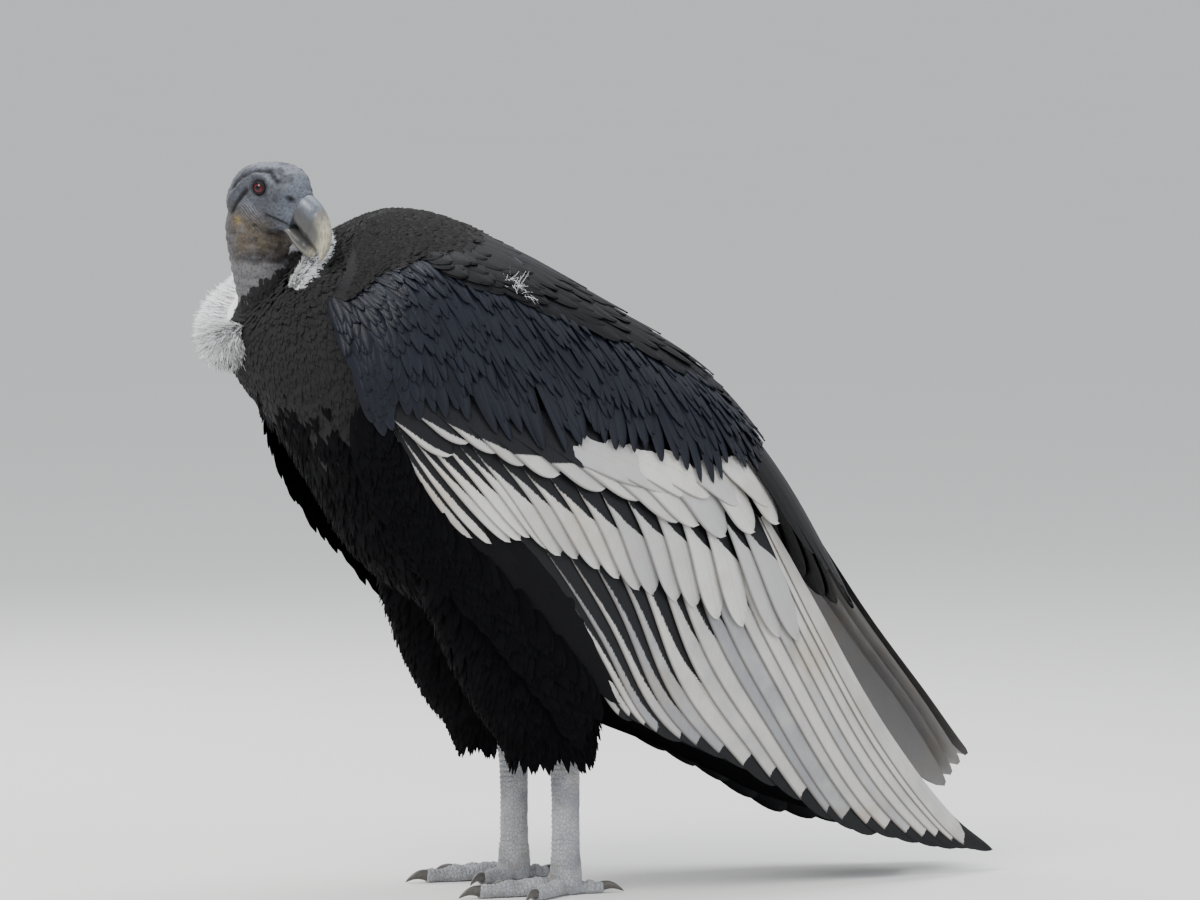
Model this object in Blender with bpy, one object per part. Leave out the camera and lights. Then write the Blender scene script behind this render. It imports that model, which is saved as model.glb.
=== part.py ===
# Andean condor, a female standing with folded wings and the head turned over its left side.
# Metres, floor at z = 0. The bird faces -Y, its left is +X and its tail points to +Y.
import bmesh
import bpy
import math
import random
import numpy as np

for item in list(bpy.data.objects):
    bpy.data.objects.remove(item, do_unlink=True)

# Colours of the solids
BLACK = (0.020, 0.022, 0.030)
WHITE = (0.74, 0.74, 0.72)
DOWN = (0.90, 0.90, 0.88)
SKIN = (0.25, 0.26, 0.29)
HORN = (0.62, 0.56, 0.46)
DARK_HORN = (0.10, 0.09, 0.09)
EYE_RED = (0.45, 0.03, 0.03)
LEG_GREY = (0.42, 0.42, 0.42)
GAP = 0.0004

# Torso sections from breast to rump: dorsal y, z, ventral y, z, half width
TORSO = [
    (-0.324, 0.556, -0.328, 0.546, 0.008),
    (-0.275, 0.610, -0.312, 0.502, 0.076),
    (-0.225, 0.640, -0.266, 0.444, 0.112),
    (-0.150, 0.662, -0.226, 0.385, 0.127),
    (-0.055, 0.632, -0.184, 0.320, 0.128),
    (0.045, 0.560, -0.095, 0.258, 0.118),
    (0.132, 0.470, -0.010, 0.218, 0.100),
    (0.190, 0.360, 0.095, 0.205, 0.070),
    (0.205, 0.262, 0.195, 0.250, 0.008),
]

# Outer surface of a folded wing from shoulder to tip: dorsal y, z, lower edge y, z, half width
WING = [
    (-0.225, 0.630, -0.268, 0.575, 0.100),
    (-0.150, 0.664, -0.244, 0.484, 0.145),
    (-0.050, 0.634, -0.193, 0.402, 0.163),
    (0.067, 0.568, -0.088, 0.300, 0.168),
    (0.169, 0.504, -0.012, 0.215, 0.164),
    (0.249, 0.412, 0.058, 0.148, 0.155),
    (0.309, 0.314, 0.172, 0.098, 0.138),
    (0.356, 0.232, 0.282, 0.041, 0.115),
    (0.404, 0.154, 0.366, 0.017, 0.092),
    (0.452, 0.074, 0.434, 0.001, 0.072),
    (0.494, 0.026, 0.488, -0.006, 0.052),
]
WING_ARC = math.radians(115.0)
MIDLINE = 0.0022


def spline(rows, t):
    rows = np.asarray(rows, float)
    x = np.clip(np.asarray(t, float), 0.0, 1.0) * (len(rows) - 1)
    i = np.minimum(np.floor(x).astype(int), len(rows) - 2)
    f = (x - i)[..., None]
    a = rows[np.maximum(i - 1, 0)]
    b = rows[i]
    c = rows[i + 1]
    d = rows[np.minimum(i + 2, len(rows) - 1)]
    bend = 3 * b - a - 3 * c + d
    return 0.5 * (2 * b + (c - a) * f + (2 * a - 5 * b + 4 * c - d) * f * f + bend * f ** 3)


def unit(v):
    return v / np.maximum(np.linalg.norm(v, axis=-1, keepdims=True), 1e-12)


# Surfaces given by parameters

def torso_point(t, angle):
    r = spline(TORSO, t)
    c, s = np.cos(angle), np.sin(angle)
    y = (r[..., 0] + r[..., 2]) / 2 + (r[..., 0] - r[..., 2]) / 2 * c
    z = (r[..., 1] + r[..., 3]) / 2 + (r[..., 1] - r[..., 3]) / 2 * c
    return np.stack([r[..., 4] * s, y, z], -1)


def wing_point(t, v):
    r = spline(WING, t)
    v = np.asarray(v, float)
    f = WING_ARC * np.where(v < 0.02, 0.02 * np.exp(np.minimum(v - 0.02, 0.0) / 0.02), v)
    h = (1 - np.cos(f)) / (1 - math.cos(WING_ARC))
    y = r[..., 0] + (r[..., 2] - r[..., 0]) * h
    z = r[..., 1] + (r[..., 3] - r[..., 1]) * h
    return np.stack([MIDLINE + r[..., 4] * np.sin(f), y, z], -1)


def wing_frame(t, v):
    e = 2e-3
    t = np.clip(t, e, 1 - e)
    v = np.maximum(v, e)
    along = (wing_point(t + e, v) - wing_point(t - e, v)) / (2 * e)
    over = (wing_point(t, v + e) - wing_point(t, v - e)) / (2 * e)
    return along, over, unit(np.cross(over, along))


def wing_lifted(t, v, lift, side):
    lift = np.asarray(lift) * np.interp(t, [0.8, 1.0], [1.0, 0.5])
    p = wing_point(t, v) + wing_frame(t, v)[2] * lift[..., None]
    near = p[..., 0] - MIDLINE
    p[..., 0] = MIDLINE + np.where(near < 0.002, 0.002 * np.exp(np.minimum(near - 0.002, 0.0) / 0.002), near)
    p[..., 0] *= side
    return p


# Meshes

def mesh_object(name, points, faces):
    mesh = bpy.data.meshes.new(name)
    mesh.from_pydata([tuple(float(c) for c in p) for p in points], [], faces)
    mesh.update()
    obj = bpy.data.objects.new(name, mesh)
    bpy.context.scene.collection.objects.link(obj)
    if volume(obj) < 0:
        mesh.flip_normals()
    return obj


def volume(obj):
    obj.data.calc_loop_triangles()
    total = 0.0
    for tri in obj.data.loop_triangles:
        a, b, c = (obj.data.vertices[i].co for i in tri.vertices)
        total += a.dot(b.cross(c)) / 6.0
    return total


def tube_faces(rings, around):
    faces = []
    for i in range(rings - 1):
        for j in range(around):
            k = (j + 1) % around
            a, b = i * around + j, i * around + k
            c, d = b + around, a + around
            faces.append((a, b, c))
            faces.append((a, c, d))
    return faces


def loft(name, rings, points_only=False):
    rings = [np.asarray(r, float) for r in rings]
    around = len(rings[0])
    points = np.concatenate(rings + [rings[0].mean(0)[None], rings[-1].mean(0)[None]])
    faces = tube_faces(len(rings), around)
    first, last = len(points) - 2, len(points) - 1
    base = (len(rings) - 1) * around
    for j in range(around):
        k = (j + 1) % around
        faces.append((first, k, j))
        faces.append((last, base + j, base + k))
    if points_only:
        return points, faces
    return mesh_object(name, points, faces)


def grow(rings, amount):
    """Rings moved outward by an amount, for the clearances between neighbours."""
    rings = np.asarray(rings, float)
    mid = rings.mean(1, keepdims=True)
    along = np.gradient(rings, axis=0)
    around = np.roll(rings, -1, axis=1) - np.roll(rings, 1, axis=1)
    normal = unit(np.cross(around, along))
    sign = np.sign(np.sum(normal * (rings - mid)))
    out = rings + normal * sign * amount
    axis = unit(mid[0] - mid[1])
    out[0] += axis * amount
    out[-1] += unit(mid[-1] - mid[-2]) * amount
    return out


def boolean(obj, others, operation, solver='EXACT'):
    group = bpy.data.collections.new('pieces')
    bpy.context.scene.collection.children.link(group)
    for other in others:
        bpy.context.scene.collection.objects.unlink(other)
        group.objects.link(other)
    mod = obj.modifiers.new('join', 'BOOLEAN')
    mod.operation = operation
    mod.solver = solver
    mod.operand_type = 'COLLECTION'
    mod.collection = group
    graph = bpy.context.evaluated_depsgraph_get()
    mesh = bpy.data.meshes.new_from_object(obj.evaluated_get(graph))
    obj.modifiers.clear()
    obj.data = mesh
    for other in others:
        bpy.data.objects.remove(other, do_unlink=True)
    bpy.data.collections.remove(group)
    keep_largest(obj)
    return obj


def keep_largest(obj):
    """Only the largest closed surface stays, crumbs of a cut go."""
    bm = bmesh.new()
    bm.from_mesh(obj.data)
    bmesh.ops.triangulate(bm, faces=bm.faces[:])
    bm.faces.ensure_lookup_table()
    seen = set()
    shells = []
    for face in bm.faces:
        if face.index in seen:
            continue
        seen.add(face.index)
        shell = [face]
        for here in shell:
            for edge in here.edges:
                for near in edge.link_faces:
                    if near.index not in seen:
                        seen.add(near.index)
                        shell.append(near)
        shells.append(shell)
    shells.sort(key=len)
    for shell in shells[:-1]:
        bmesh.ops.delete(bm, geom=shell, context='FACES')
    bm.to_mesh(obj.data)
    bm.free()
    return len(shells)


def finish(obj, colour, roughness):
    mat = bpy.data.materials.new(obj.name)
    mat.use_nodes = True
    shader = mat.node_tree.nodes['Principled BSDF']
    shader.inputs['Base Color'].default_value = (*colour, 1.0)
    shader.inputs['Roughness'].default_value = roughness
    shader.inputs['Metallic'].default_value = 0.0
    obj.data.materials.clear()
    obj.data.materials.append(mat)
    return obj


def plate(name, top, low):
    """A closed thin body between two grids, split into triangles alike on both faces."""
    n, m = top.shape[:2]
    half = n * m
    faces = []
    for i in range(n - 1):
        for j in range(m - 1):
            p = i * m + j
            q, r, s = p + 1, p + 1 + m, p + m
            faces += [(p, q, r), (p, r, s), (half + p, half + r, half + q), (half + p, half + s, half + r)]
    rim = [i * m for i in range(n)] + [(n - 1) * m + j for j in range(1, m)]
    rim += [i * m + m - 1 for i in range(n - 2, -1, -1)] + [j for j in range(m - 2, 0, -1)]
    for p, q in zip(rim, rim[1:] + rim[:1]):
        faces += [(p, q, half + q), (p, half + q, half + p)]
    return mesh_object(name, np.concatenate([top.reshape(-1, 3), low.reshape(-1, 3)]), faces)


# Feathers lying on the wing surface

def vane(tier_row, half, lift, tilt, side, root=-0.006, steps=(0.0, 0.3, 0.82, 1.0), ridge=0.0,
         thick=0.0008, rise=0.0):
    """One feather from root to tip, its near edge low and its far edge high."""
    t0, v0, t1, v1 = tier_row
    k = np.array(steps)
    width = half * np.interp(k, [0, 0.3, 0.82, 1.0], [0.80, 1.0, 0.92, 0.30])
    centre_t = t0 + (t1 - t0) * k
    centre_v = v0 + (v1 - v0) * k
    along, over, normal = wing_frame(centre_t, centre_v)
    heading = unit(along * (t1 - t0) + over * (v1 - v0))
    across = unit(np.cross(normal, heading))
    js = [-1.0, 0.0, 1.0] if ridge else [-1.0, 1.0]
    top, low = [], []
    for i in range(len(k)):
        basis = np.stack([along[i], over[i]], 1)
        for j in js:
            step = np.linalg.lstsq(basis, across[i] * j * width[i], rcond=None)[0]
            height = root + (lift - root) * min(k[i] / 0.3, 1.0) + tilt * j + rise * k[i] ** 1.5
            height += ridge * (1 - abs(j))
            t = np.clip(centre_t[i] + step[0], 0.0, 0.998)
            top.append(wing_lifted(t, centre_v[i] + step[1], height, side))
            low.append(wing_lifted(t, centre_v[i] + step[1], height - thick, side))
    shape = (len(k), len(js), 3)
    return plate('vane', np.array(top).reshape(shape), np.array(low).reshape(shape))


def tier(rows, count, half, lift, tilt, side, rng, **options):
    """A row of feathers between the stated rows, from the lower edge to the back."""
    pieces = []
    for i in range(count):
        row = spline(rows, i / (count - 1))
        row = row + np.array([0.0, 0.0, rng.uniform(-0.006, 0.006), rng.uniform(-0.008, 0.008)])
        pieces.append(vane(row, np.interp(i / (count - 1), [0, 1], half), lift, tilt, side, **options))
    return pieces


def slab(place, nt, nv, outer, inner, side):
    """A closed plate between two heights over a patch of the wing surface."""
    a = np.linspace(0, 1, nt)[:, None] * np.ones((1, nv))
    b = np.linspace(0, 1, nv)[None, :] * np.ones((nt, 1))
    t, v = place(a, b)
    return plate('slab', wing_lifted(t, v, outer(a, b), side), wing_lifted(t, v, inner(a, b), side))


# Torso
ANGLES = np.linspace(0, 2 * math.pi, 20, endpoint=False)


def torso_rings(count=13):
    return np.array([torso_point(np.full(20, t), ANGLES) for t in np.linspace(0, 1, count)])


def torso_clear():
    return loft('cut', grow(torso_rings(), GAP))


torso = finish(loft('torso', torso_rings()), BLACK, 0.75)

# Head, in its own axes: beak direction, up, and the bird's left, in millimetres
HEAD_AT = np.array([0.0126, -0.2995, 0.695])
HEAD_F = np.array([0.741, 0.480, -0.469])
HEAD_U = np.array([0.394, 0.255, 0.883])
HEAD_S = np.array([-0.543, 0.839, 0.0])

# Head sections along the beak direction: distance, top, bottom, half width
HEAD = [
    (-23, -4, -18, 4),
    (-20, 5, -29, 15),
    (-12, 14, -40, 25),
    (0, 22.5, -45.5, 29.5),
    (12, 29, -45, 30),
    (26, 33, -39, 28),
    (38, 33, -32, 24.5),
    (48, 28, -26.5, 19),
    (56, 22, -26, 15.5),
    (60, 19.5, -26, 14),
]


def head_world(f, s, u):
    return HEAD_AT + (f[..., None] * HEAD_F + s[..., None] * HEAD_S + u[..., None] * HEAD_U) / 1000.0


def bump(distance, radius):
    return np.exp(-(distance / radius) ** 2)


def segment(f, u, a, b):
    """Distance in the side view from a crease line between two points."""
    a, b = np.array(a, float), np.array(b, float)
    d = b - a
    k = np.clip(((f - a[0]) * d[0] + (u - a[1]) * d[1]) / (d @ d), 0, 1)
    return np.hypot(f - a[0] - k * d[0], u - a[1] - k * d[1])


def head_relief(f, s, u):
    """Height in millimetres of the lids, brow, ear, mouth, nostrils and folds."""
    eye = np.hypot(f - 20, u - 6)
    side = np.clip((np.abs(s) - 10) / 10, 0, 1)
    out = side * (2.0 * bump(eye - 9.0, 2.2) - 2.5 * bump(eye, 5.5))
    out += side * 1.6 * bump(segment(f, u, (34, 15), (4, 17)), 3.2)
    out -= side * 2.4 * bump(segment(f, u, (8, 3), (-5, -12)), 2.2)
    out -= side * 2.4 * bump(segment(f, u, (7, -12), (0, -34)), 2.4)
    out += side * 2.0 * bump(segment(f, u, (22, -18), (18, -30)), 7.0)
    mouth = segment(f, u, (36, -14), (62, -14.5))
    out -= 2.4 * bump(mouth, 1.7) * np.clip(np.abs(s) / 8, 0, 1)
    nostril = np.hypot((f - 52) * 0.7, u - 10)
    out -= 2.8 * bump(nostril, 2.6) * np.clip((np.abs(s) - 6) / 4, 0, 1)
    for shift in (0, 9, 18):
        out -= 1.3 * bump(segment(f, u, (30 - shift, -30), (2 - shift, -22)), 1.8)
    return out


def head_rings(grown=0.0, nf=27, na=28):
    angle = np.linspace(0, 2 * math.pi, na, endpoint=False)
    rings = []
    for i in range(nf):
        f0, top, low, wide = spline(HEAD, i / (nf - 1))
        mid, tall = (top + low) / 2, (top - low) / 2
        c, s = np.cos(angle), np.sin(angle)
        u = mid + tall * np.sign(c) * np.abs(c) ** 0.84
        w = wide * np.sign(s) * np.abs(s) ** 0.8
        f = np.full(na, f0)
        ease = math.sin(math.pi * i / (nf - 1)) ** 0.3 if 0 < i < nf - 1 else 0.0
        d = head_relief(f, w, u) * ease + grown
        nrm = np.stack([s / wide, c / tall], -1)
        nrm = unit(nrm)
        f = f + (-grown if i == 0 else grown if i == nf - 1 else 0.0)
        rings.append(head_world(f, w + nrm[:, 0] * d, u + nrm[:, 1] * d))
    return rings


def sphere(name, centre, radius, around=12, rings=7):
    parts = []
    for i in range(1, rings):
        a = math.pi * i / rings
        turn = np.linspace(0, 2 * math.pi, around, endpoint=False)
        ring = [centre + radius * np.array([math.sin(a) * math.cos(b), math.sin(a) * math.sin(b), math.cos(a)])
                for b in turn]
        parts.append(np.array(ring))
    return loft(name, parts)


def eye_centre(side):
    return head_world(np.array(20.0), np.array(24.5 * side), np.array(6.0))


head = loft('head', head_rings())
boolean(head, [sphere('cut', eye_centre(s), 0.0078) for s in (-1, 1)], 'DIFFERENCE')
finish(head, SKIN, 0.6)
for tag, s in (('left', 1), ('right', -1)):
    finish(sphere('eye_' + tag, eye_centre(s), 0.0074), EYE_RED, 0.12)


def bill(name, rows, colour):
    """Sections given by an upper and a lower point in the side view and a half width."""
    angle = np.linspace(0, 2 * math.pi, 12, endpoint=False)
    rings = []
    for t in np.linspace(0, 1, 10):
        f1, u1, f2, u2, wide = spline(rows, t)
        c, s = np.cos(angle), np.sin(angle)
        f = (f1 + f2) / 2 + (f1 - f2) / 2 * c
        u = (u1 + u2) / 2 + (u1 - u2) / 2 * c
        rings.append(head_world(f, wide * np.sign(s) * np.abs(s) ** 0.8, u))
    return finish(loft(name, rings), colour, 0.35)


bill('bill_upper', [
    (60.5, 19.0, 60.5, -13.8, 13.3), (68, 18.0, 68, -15.5, 12.9), (77, 15.5, 76, -18.0, 12.0),
    (86, 11.0, 84, -20.5, 10.8), (94, 4.5, 90, -23.0, 9.0), (100.5, -4, 95, -25, 6.8),
    (104, -14, 98.5, -27.5, 4.6), (103.5, -24.5, 99.5, -31.5, 2.6), (101.5, -32.5, 100.2, -33.2, 0.5),
], HORN)
bill('bill_lower', [
    (60.5, -16.0, 60.5, -26.5, 12.0), (67.5, -17.8, 66.5, -30, 11.4), (76.5, -20.2, 74.5, -33.5, 10.2),
    (84, -22.8, 82, -35.5, 8.0), (89.5, -25.3, 88.5, -35, 5.4), (93.5, -27.9, 93, -31.0, 1.2),
], HORN)

# Neck
NECK = [
    (0.001, -0.294, 0.672, 0.0290),
    (0.000, -0.297, 0.650, 0.0315),
    (0.000, -0.296, 0.620, 0.0282),
    (0.000, -0.288, 0.585, 0.0285),
    (0.000, -0.276, 0.545, 0.0330),
]


def tube_rings(rows, count, around, waves=0.0, reach=(0.0, 1.0)):
    rings = []
    for t in np.linspace(reach[0], reach[1], count):
        r = spline(rows, t)
        d = unit(spline(rows, min(t + 0.02, 1.0)) - spline(rows, max(t - 0.02, 0.0)))[:3]
        d = unit(d)
        x = unit(np.cross(np.array([0.0, 1.0, 0.0]), d)) if abs(d[1]) < 0.9 else np.array([1.0, 0, 0])
        y = np.cross(d, x)
        a = np.linspace(0, 2 * math.pi, around, endpoint=False)
        radius = r[3] + waves * math.sin(t * 40.0)
        rings.append(r[:3] + radius * (np.cos(a)[:, None] * x + np.sin(a)[:, None] * y))
    return rings


neck = loft('neck', tube_rings(NECK, 9, 12, waves=0.0006))
boolean(neck, [loft('cut', head_rings(grown=0.4))], 'DIFFERENCE')
boolean(neck, [torso_clear()], 'DIFFERENCE')
finish(neck, SKIN, 0.7)


def teardrop(start, direction, normal, length, half, thick, name='lock'):
    """A pointed lock that is round at its root, with an elliptic section."""
    across = unit(np.cross(direction, normal))
    a = np.linspace(0, 2 * math.pi, 6, endpoint=False)
    rings = []
    for k, w in ((0.0, 0.55), (0.3, 1.0), (0.75, 0.70), (1.0, 0.14)):
        c = start + direction * length * k - normal * 0.10 * length * k * k
        rings.append(c + w * (half * np.cos(a)[:, None] * across + thick * np.sin(a)[:, None] * normal))
    return loft(name, rings)


# Ruff of down at the base of the neck, open toward the left front
RUFF_AT = np.array([0.0, -0.279, 0.578])
RUFF_LOW = np.array([0.0, -0.78, -0.62])
RUFF_X = np.array([1.0, 0.0, 0.0])
RUFF_UP = np.array([0.0, -0.62, 0.78])
RUFF_LIFT = np.array([0.0, -0.004, 0.016])
RUFF_GAP = (25.0, 112.0)


def ruff_place(p, reach):
    """Outward direction and place on the collar, lifted where it passes over the back."""
    out = math.cos(p) * RUFF_LOW + math.sin(p) * RUFF_X
    return out, RUFF_AT + reach * out + RUFF_LIFT * (1 - math.cos(p)) / 2


def ruff_ring():
    rings = []
    span = np.radians(np.linspace(RUFF_GAP[1], 360 + RUFF_GAP[0], 13))
    a = np.linspace(0, 2 * math.pi, 8, endpoint=False)
    for i, p in enumerate(span):
        out, mid = ruff_place(p, 0.058)
        size = 0.0165 * (0.45 + 0.55 * math.sin(math.pi * i / 12) ** 0.4)
        rings.append(mid + size * (np.cos(a)[:, None] * out + np.sin(a)[:, None] * RUFF_UP))
    return rings


ruff = loft('ruff', ruff_ring())
locks = []
rng = random.Random(7)
for row, (lean, reach) in enumerate(((0.15, 0.034), (-0.55, 0.044))):
    for n in range(7):
        p = math.radians(RUFF_GAP[1] + 12 + (n + 0.5 * row) * (360 - 87 - 20) / 7.0)
        out, start = ruff_place(p, 0.054)
        way = unit(out + lean * RUFF_UP + 0.10 * rng.uniform(-1, 1) * np.cross(out, RUFF_UP))
        start = start + 0.004 * RUFF_UP * (1 - 2 * row)
        length = reach * (1 + 0.3 * max(0.0, math.cos(p))) * rng.uniform(0.9, 1.1)
        locks.append(teardrop(start, way, unit(RUFF_UP - 0.3 * lean * out), length, 0.0145, 0.0085))
boolean(ruff, locks, 'UNION')
boolean(ruff, [loft('cut', grow(tube_rings(NECK, 11, 14), GAP + 0.0010))], 'DIFFERENCE')
boolean(ruff, [torso_clear()], 'DIFFERENCE')
finish(ruff, DOWN, 0.9)

# Legs: feathered thigh, bare shank, foot with four toes, claws
LEG_X = 0.070
FLOOR = -0.015
THIGH = [
    (0.052, -0.070, 0.350, 0.050, 0.080),
    (0.060, -0.062, 0.290, 0.050, 0.080),
    (0.066, -0.050, 0.238, 0.047, 0.072),
    (0.069, -0.037, 0.195, 0.044, 0.063),
    (0.070, -0.026, 0.165, 0.040, 0.055),
    (0.070, -0.018, 0.146, 0.034, 0.047),
]


def thigh_rings(side, grown=0.0):
    a = np.linspace(0, 2 * math.pi, 16, endpoint=False)
    rings = []
    for t in np.linspace(0, 1, 7):
        x, y, z, wide, long = spline(THIGH, t)
        ring = [(side * (x + (wide + grown) * math.cos(b)), y + (long + grown) * math.sin(b), z) for b in a]
        rings.append(np.array(ring))
    return rings


TOES = [
    ('inner', -36, 0.060, 0.0085),
    ('middle', 2, 0.094, 0.0095),
    ('outer', 42, 0.068, 0.0085),
    ('hind', 172, 0.038, 0.0080),
]
PAD = (LEG_X, 0.001)


def toe_rings(side, way, length, radius, start=0.0):
    """A toe with swollen joints, cut flat where it stands."""
    a = np.linspace(0, 2 * math.pi, 8, endpoint=False)
    d = np.array([side * math.sin(math.radians(way)), -math.cos(math.radians(way)), 0.0])
    x = np.array([d[1], -d[0], 0.0])
    rings = []
    for k in np.linspace(start, 1.0, 5):
        swell = 1.0 + 0.10 * math.cos(k * 3 * 2 * math.pi)
        r = radius * swell * (1.05 - 0.28 * k)
        if k == 1.0:
            r *= 0.72
        mid = np.array([side * PAD[0], PAD[1], FLOOR + r * 0.82]) + d * length * k
        ring = mid + r * (np.cos(a)[:, None] * x + np.sin(a)[:, None] * np.array([0, 0, 1.0]))
        ring[:, 2] = np.maximum(ring[:, 2], FLOOR)
        rings.append(ring)
    return rings, d


def claw(name, side, way, length, radius):
    d = np.array([side * math.sin(math.radians(way)), -math.cos(math.radians(way)), 0.0])
    x = np.array([d[1], -d[0], 0.0])
    up = np.array([0.0, 0.0, 1.0])
    foot = np.array([side * PAD[0], PAD[1], FLOOR]) + d * (length + 0.0006)
    a = np.linspace(0, 2 * math.pi, 6, endpoint=False)
    rings = []
    for k in np.linspace(0, 1, 4):
        r = radius * (0.62 - 0.52 * k)
        mid = foot + d * 0.021 * k + up * (0.0068 + 0.002 * math.sin(math.pi * k) - 0.0052 * k * k)
        ring = mid + r * (0.75 * np.cos(a)[:, None] * x + np.sin(a)[:, None] * up)
        ring[:, 2] = np.maximum(ring[:, 2], FLOOR + 0.0003)
        rings.append(ring)
    return finish(loft(name, rings), DARK_HORN, 0.4)


for tag, side in (('left', 1), ('right', -1)):
    thigh = loft('thigh_' + tag, thigh_rings(side))
    boolean(thigh, [torso_clear()], 'DIFFERENCE')
    finish(thigh, BLACK, 0.8)
    a = np.linspace(0, 2 * math.pi, 12, endpoint=False)
    rings = []
    for z, r, y in ((FLOOR + 0.0304, 0.0155, 0.001), (0.030, 0.0142, 0.001), (0.080, 0.0140, 0.001),
                    (0.115, 0.0152, 0.000), (0.132, 0.0165, -0.001), (0.1456, 0.0165, -0.002)):
        rings.append(np.array([(side * LEG_X + r * 0.92 * math.cos(b), y + r * math.sin(b), z) for b in a]))
    finish(loft('shank_' + tag, rings), LEG_GREY, 0.6)
    rings = []
    for z, r in ((0.0, 0.0120), (0.004, 0.0150), (0.012, 0.0165), (0.022, 0.0162), (0.030, 0.0155)):
        rings.append(np.array([(side * LEG_X + r * math.cos(b), PAD[1] + r * math.sin(b), FLOOR + z)
                               for b in a]))
    foot = loft('foot_' + tag, rings)
    toes = []
    for toe, way, length, radius in TOES:
        toes.append(loft('toe', toe_rings(side, way, length, radius)[0]))
        claw('claw_%s_%s' % (toe, tag), side, way, length, radius)
    boolean(foot, toes, 'UNION')
    finish(foot, LEG_GREY, 0.6)

# Tail under the wings
TAIL_FROM = np.array([0.0, 0.196, 0.258])
TAIL_TO = np.array([0.0, 0.405, 0.022])


def tail_feather(n, count):
    f = (n - (count - 1) / 2) / ((count - 1) / 2)
    way = TAIL_TO - TAIL_FROM
    length = np.linalg.norm(way)
    way = unit(way + np.array([0.05 * length * f, 0, 0]))
    up = unit(np.cross(np.array([1.0, 0, 0]), way))
    if up[2] < 0:
        up = -up
    across = unit(np.cross(way, up))
    start = TAIL_FROM + np.array([0.014 * f, 0.0, 0.0])
    across = unit(across * (1 if across[0] > 0 else -1) - up * 0.10 * np.sign(f))
    stack = 0.0022 * (count / 2 - abs(n - (count - 1) / 2))
    top, low = [], []
    for k, w in ((0.0, 0.45), (0.3, 0.75), (0.9, 1.0), (1.0, 0.55)):
        mid = start + way * length * (1 - 0.05 * abs(f)) * k + up * (stack * min(k * 3, 1) - 0.008 * abs(f))
        half = 0.0160 * w
        top.append([mid - across * half, mid + up * 0.0006, mid + across * half])
        low.append([p - up * 0.0009 for p in top[-1]])
    return plate('vane', np.array(top), np.array(low))


a = np.linspace(0, 2 * math.pi, 16, endpoint=False)
way = unit(TAIL_TO - TAIL_FROM)
up = np.array([0.0, -way[2], way[1]])
rings = []
for k, wide, thick in ((0.0, 0.030, 0.026), (0.03, 0.036, 0.024), (0.065, 0.038, 0.018), (0.10, 0.030, 0.008)):
    across = wide * np.cos(a)[:, None] * np.array([1.0, 0, 0])
    rings.append(TAIL_FROM + way * k + across + thick * np.sin(a)[:, None] * up)
tail = loft('tail', rings)
boolean(tail, [tail_feather(n, 5) for n in range(5)], 'UNION')
boolean(tail, [torso_clear()], 'DIFFERENCE')
finish(tail, BLACK, 0.7)

# Wing tiers: root t, v and tip t, v from the lower edge to the back
SHOULDER = [
    (0.020, 0.90, 0.140, 0.970), (0.012, 0.60, 0.148, 0.86), (0.062, 0.42, 0.205, 0.745),
    (0.125, 0.34, 0.250, 0.665), (0.200, 0.22, 0.305, 0.59), (0.260, 0.12, 0.370, 0.51),
    (0.330, 0.05, 0.430, 0.40), (0.390, 0.02, 0.475, 0.18),
]
LESSER_UPPER = [
    (0.020, 0.84, 0.120, 0.93), (0.010, 0.60, 0.090, 0.79), (0.062, 0.46, 0.135, 0.71),
    (0.133, 0.40, 0.200, 0.60), (0.205, 0.36, 0.263, 0.52), (0.268, 0.33, 0.343, 0.43),
    (0.325, 0.32, 0.417, 0.33), (0.367, 0.22, 0.460, 0.17),
]
LESSER_LOWER = [
    (0.060, 0.88, 0.150, 0.96), (0.050, 0.72, 0.143, 0.86), (0.100, 0.57, 0.190, 0.77),
    (0.175, 0.51, 0.245, 0.67), (0.238, 0.46, 0.305, 0.58), (0.297, 0.40, 0.380, 0.50),
    (0.357, 0.34, 0.443, 0.38), (0.398, 0.20, 0.480, 0.22),
]
TERTIAL = [(0.420, 0.18, 0.600, 0.22), (0.410, 0.14, 0.640, 0.15), (0.400, 0.09, 0.660, 0.07)]
MEDIAN = [
    (0.135, 0.885, 0.208, 0.866), (0.170, 0.795, 0.236, 0.780), (0.208, 0.745, 0.265, 0.752),
    (0.232, 0.712, 0.292, 0.712), (0.258, 0.665, 0.343, 0.652), (0.300, 0.615, 0.400, 0.608),
    (0.345, 0.560, 0.440, 0.570), (0.400, 0.480, 0.482, 0.495), (0.450, 0.350, 0.525, 0.362),
]
GREATER = [
    (0.170, 0.925, 0.259, 0.985), (0.185, 0.880, 0.284, 0.926), (0.212, 0.825, 0.300, 0.888),
    (0.245, 0.780, 0.330, 0.852), (0.285, 0.735, 0.375, 0.815), (0.335, 0.680, 0.420, 0.780),
    (0.385, 0.610, 0.470, 0.720), (0.440, 0.530, 0.525, 0.665), (0.480, 0.440, 0.575, 0.580),
]
SECONDARY = [
    (0.255, 0.900, 0.440, 0.985), (0.275, 0.850, 0.500, 0.978), (0.310, 0.780, 0.545, 0.965),
    (0.350, 0.710, 0.600, 0.965), (0.390, 0.640, 0.660, 0.970), (0.425, 0.570, 0.725, 0.970),
    (0.455, 0.500, 0.800, 0.950), (0.480, 0.430, 0.890, 0.880), (0.500, 0.360, 0.972, 0.740),
]
PRIMARY_COVERT = [
    (0.150, 0.90, 0.265, 1.02), (0.165, 0.91, 0.312, 1.04), (0.180, 0.92, 0.367, 1.03),
    (0.195, 0.92, 0.420, 1.01), (0.210, 0.92, 0.465, 0.99),
]
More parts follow.
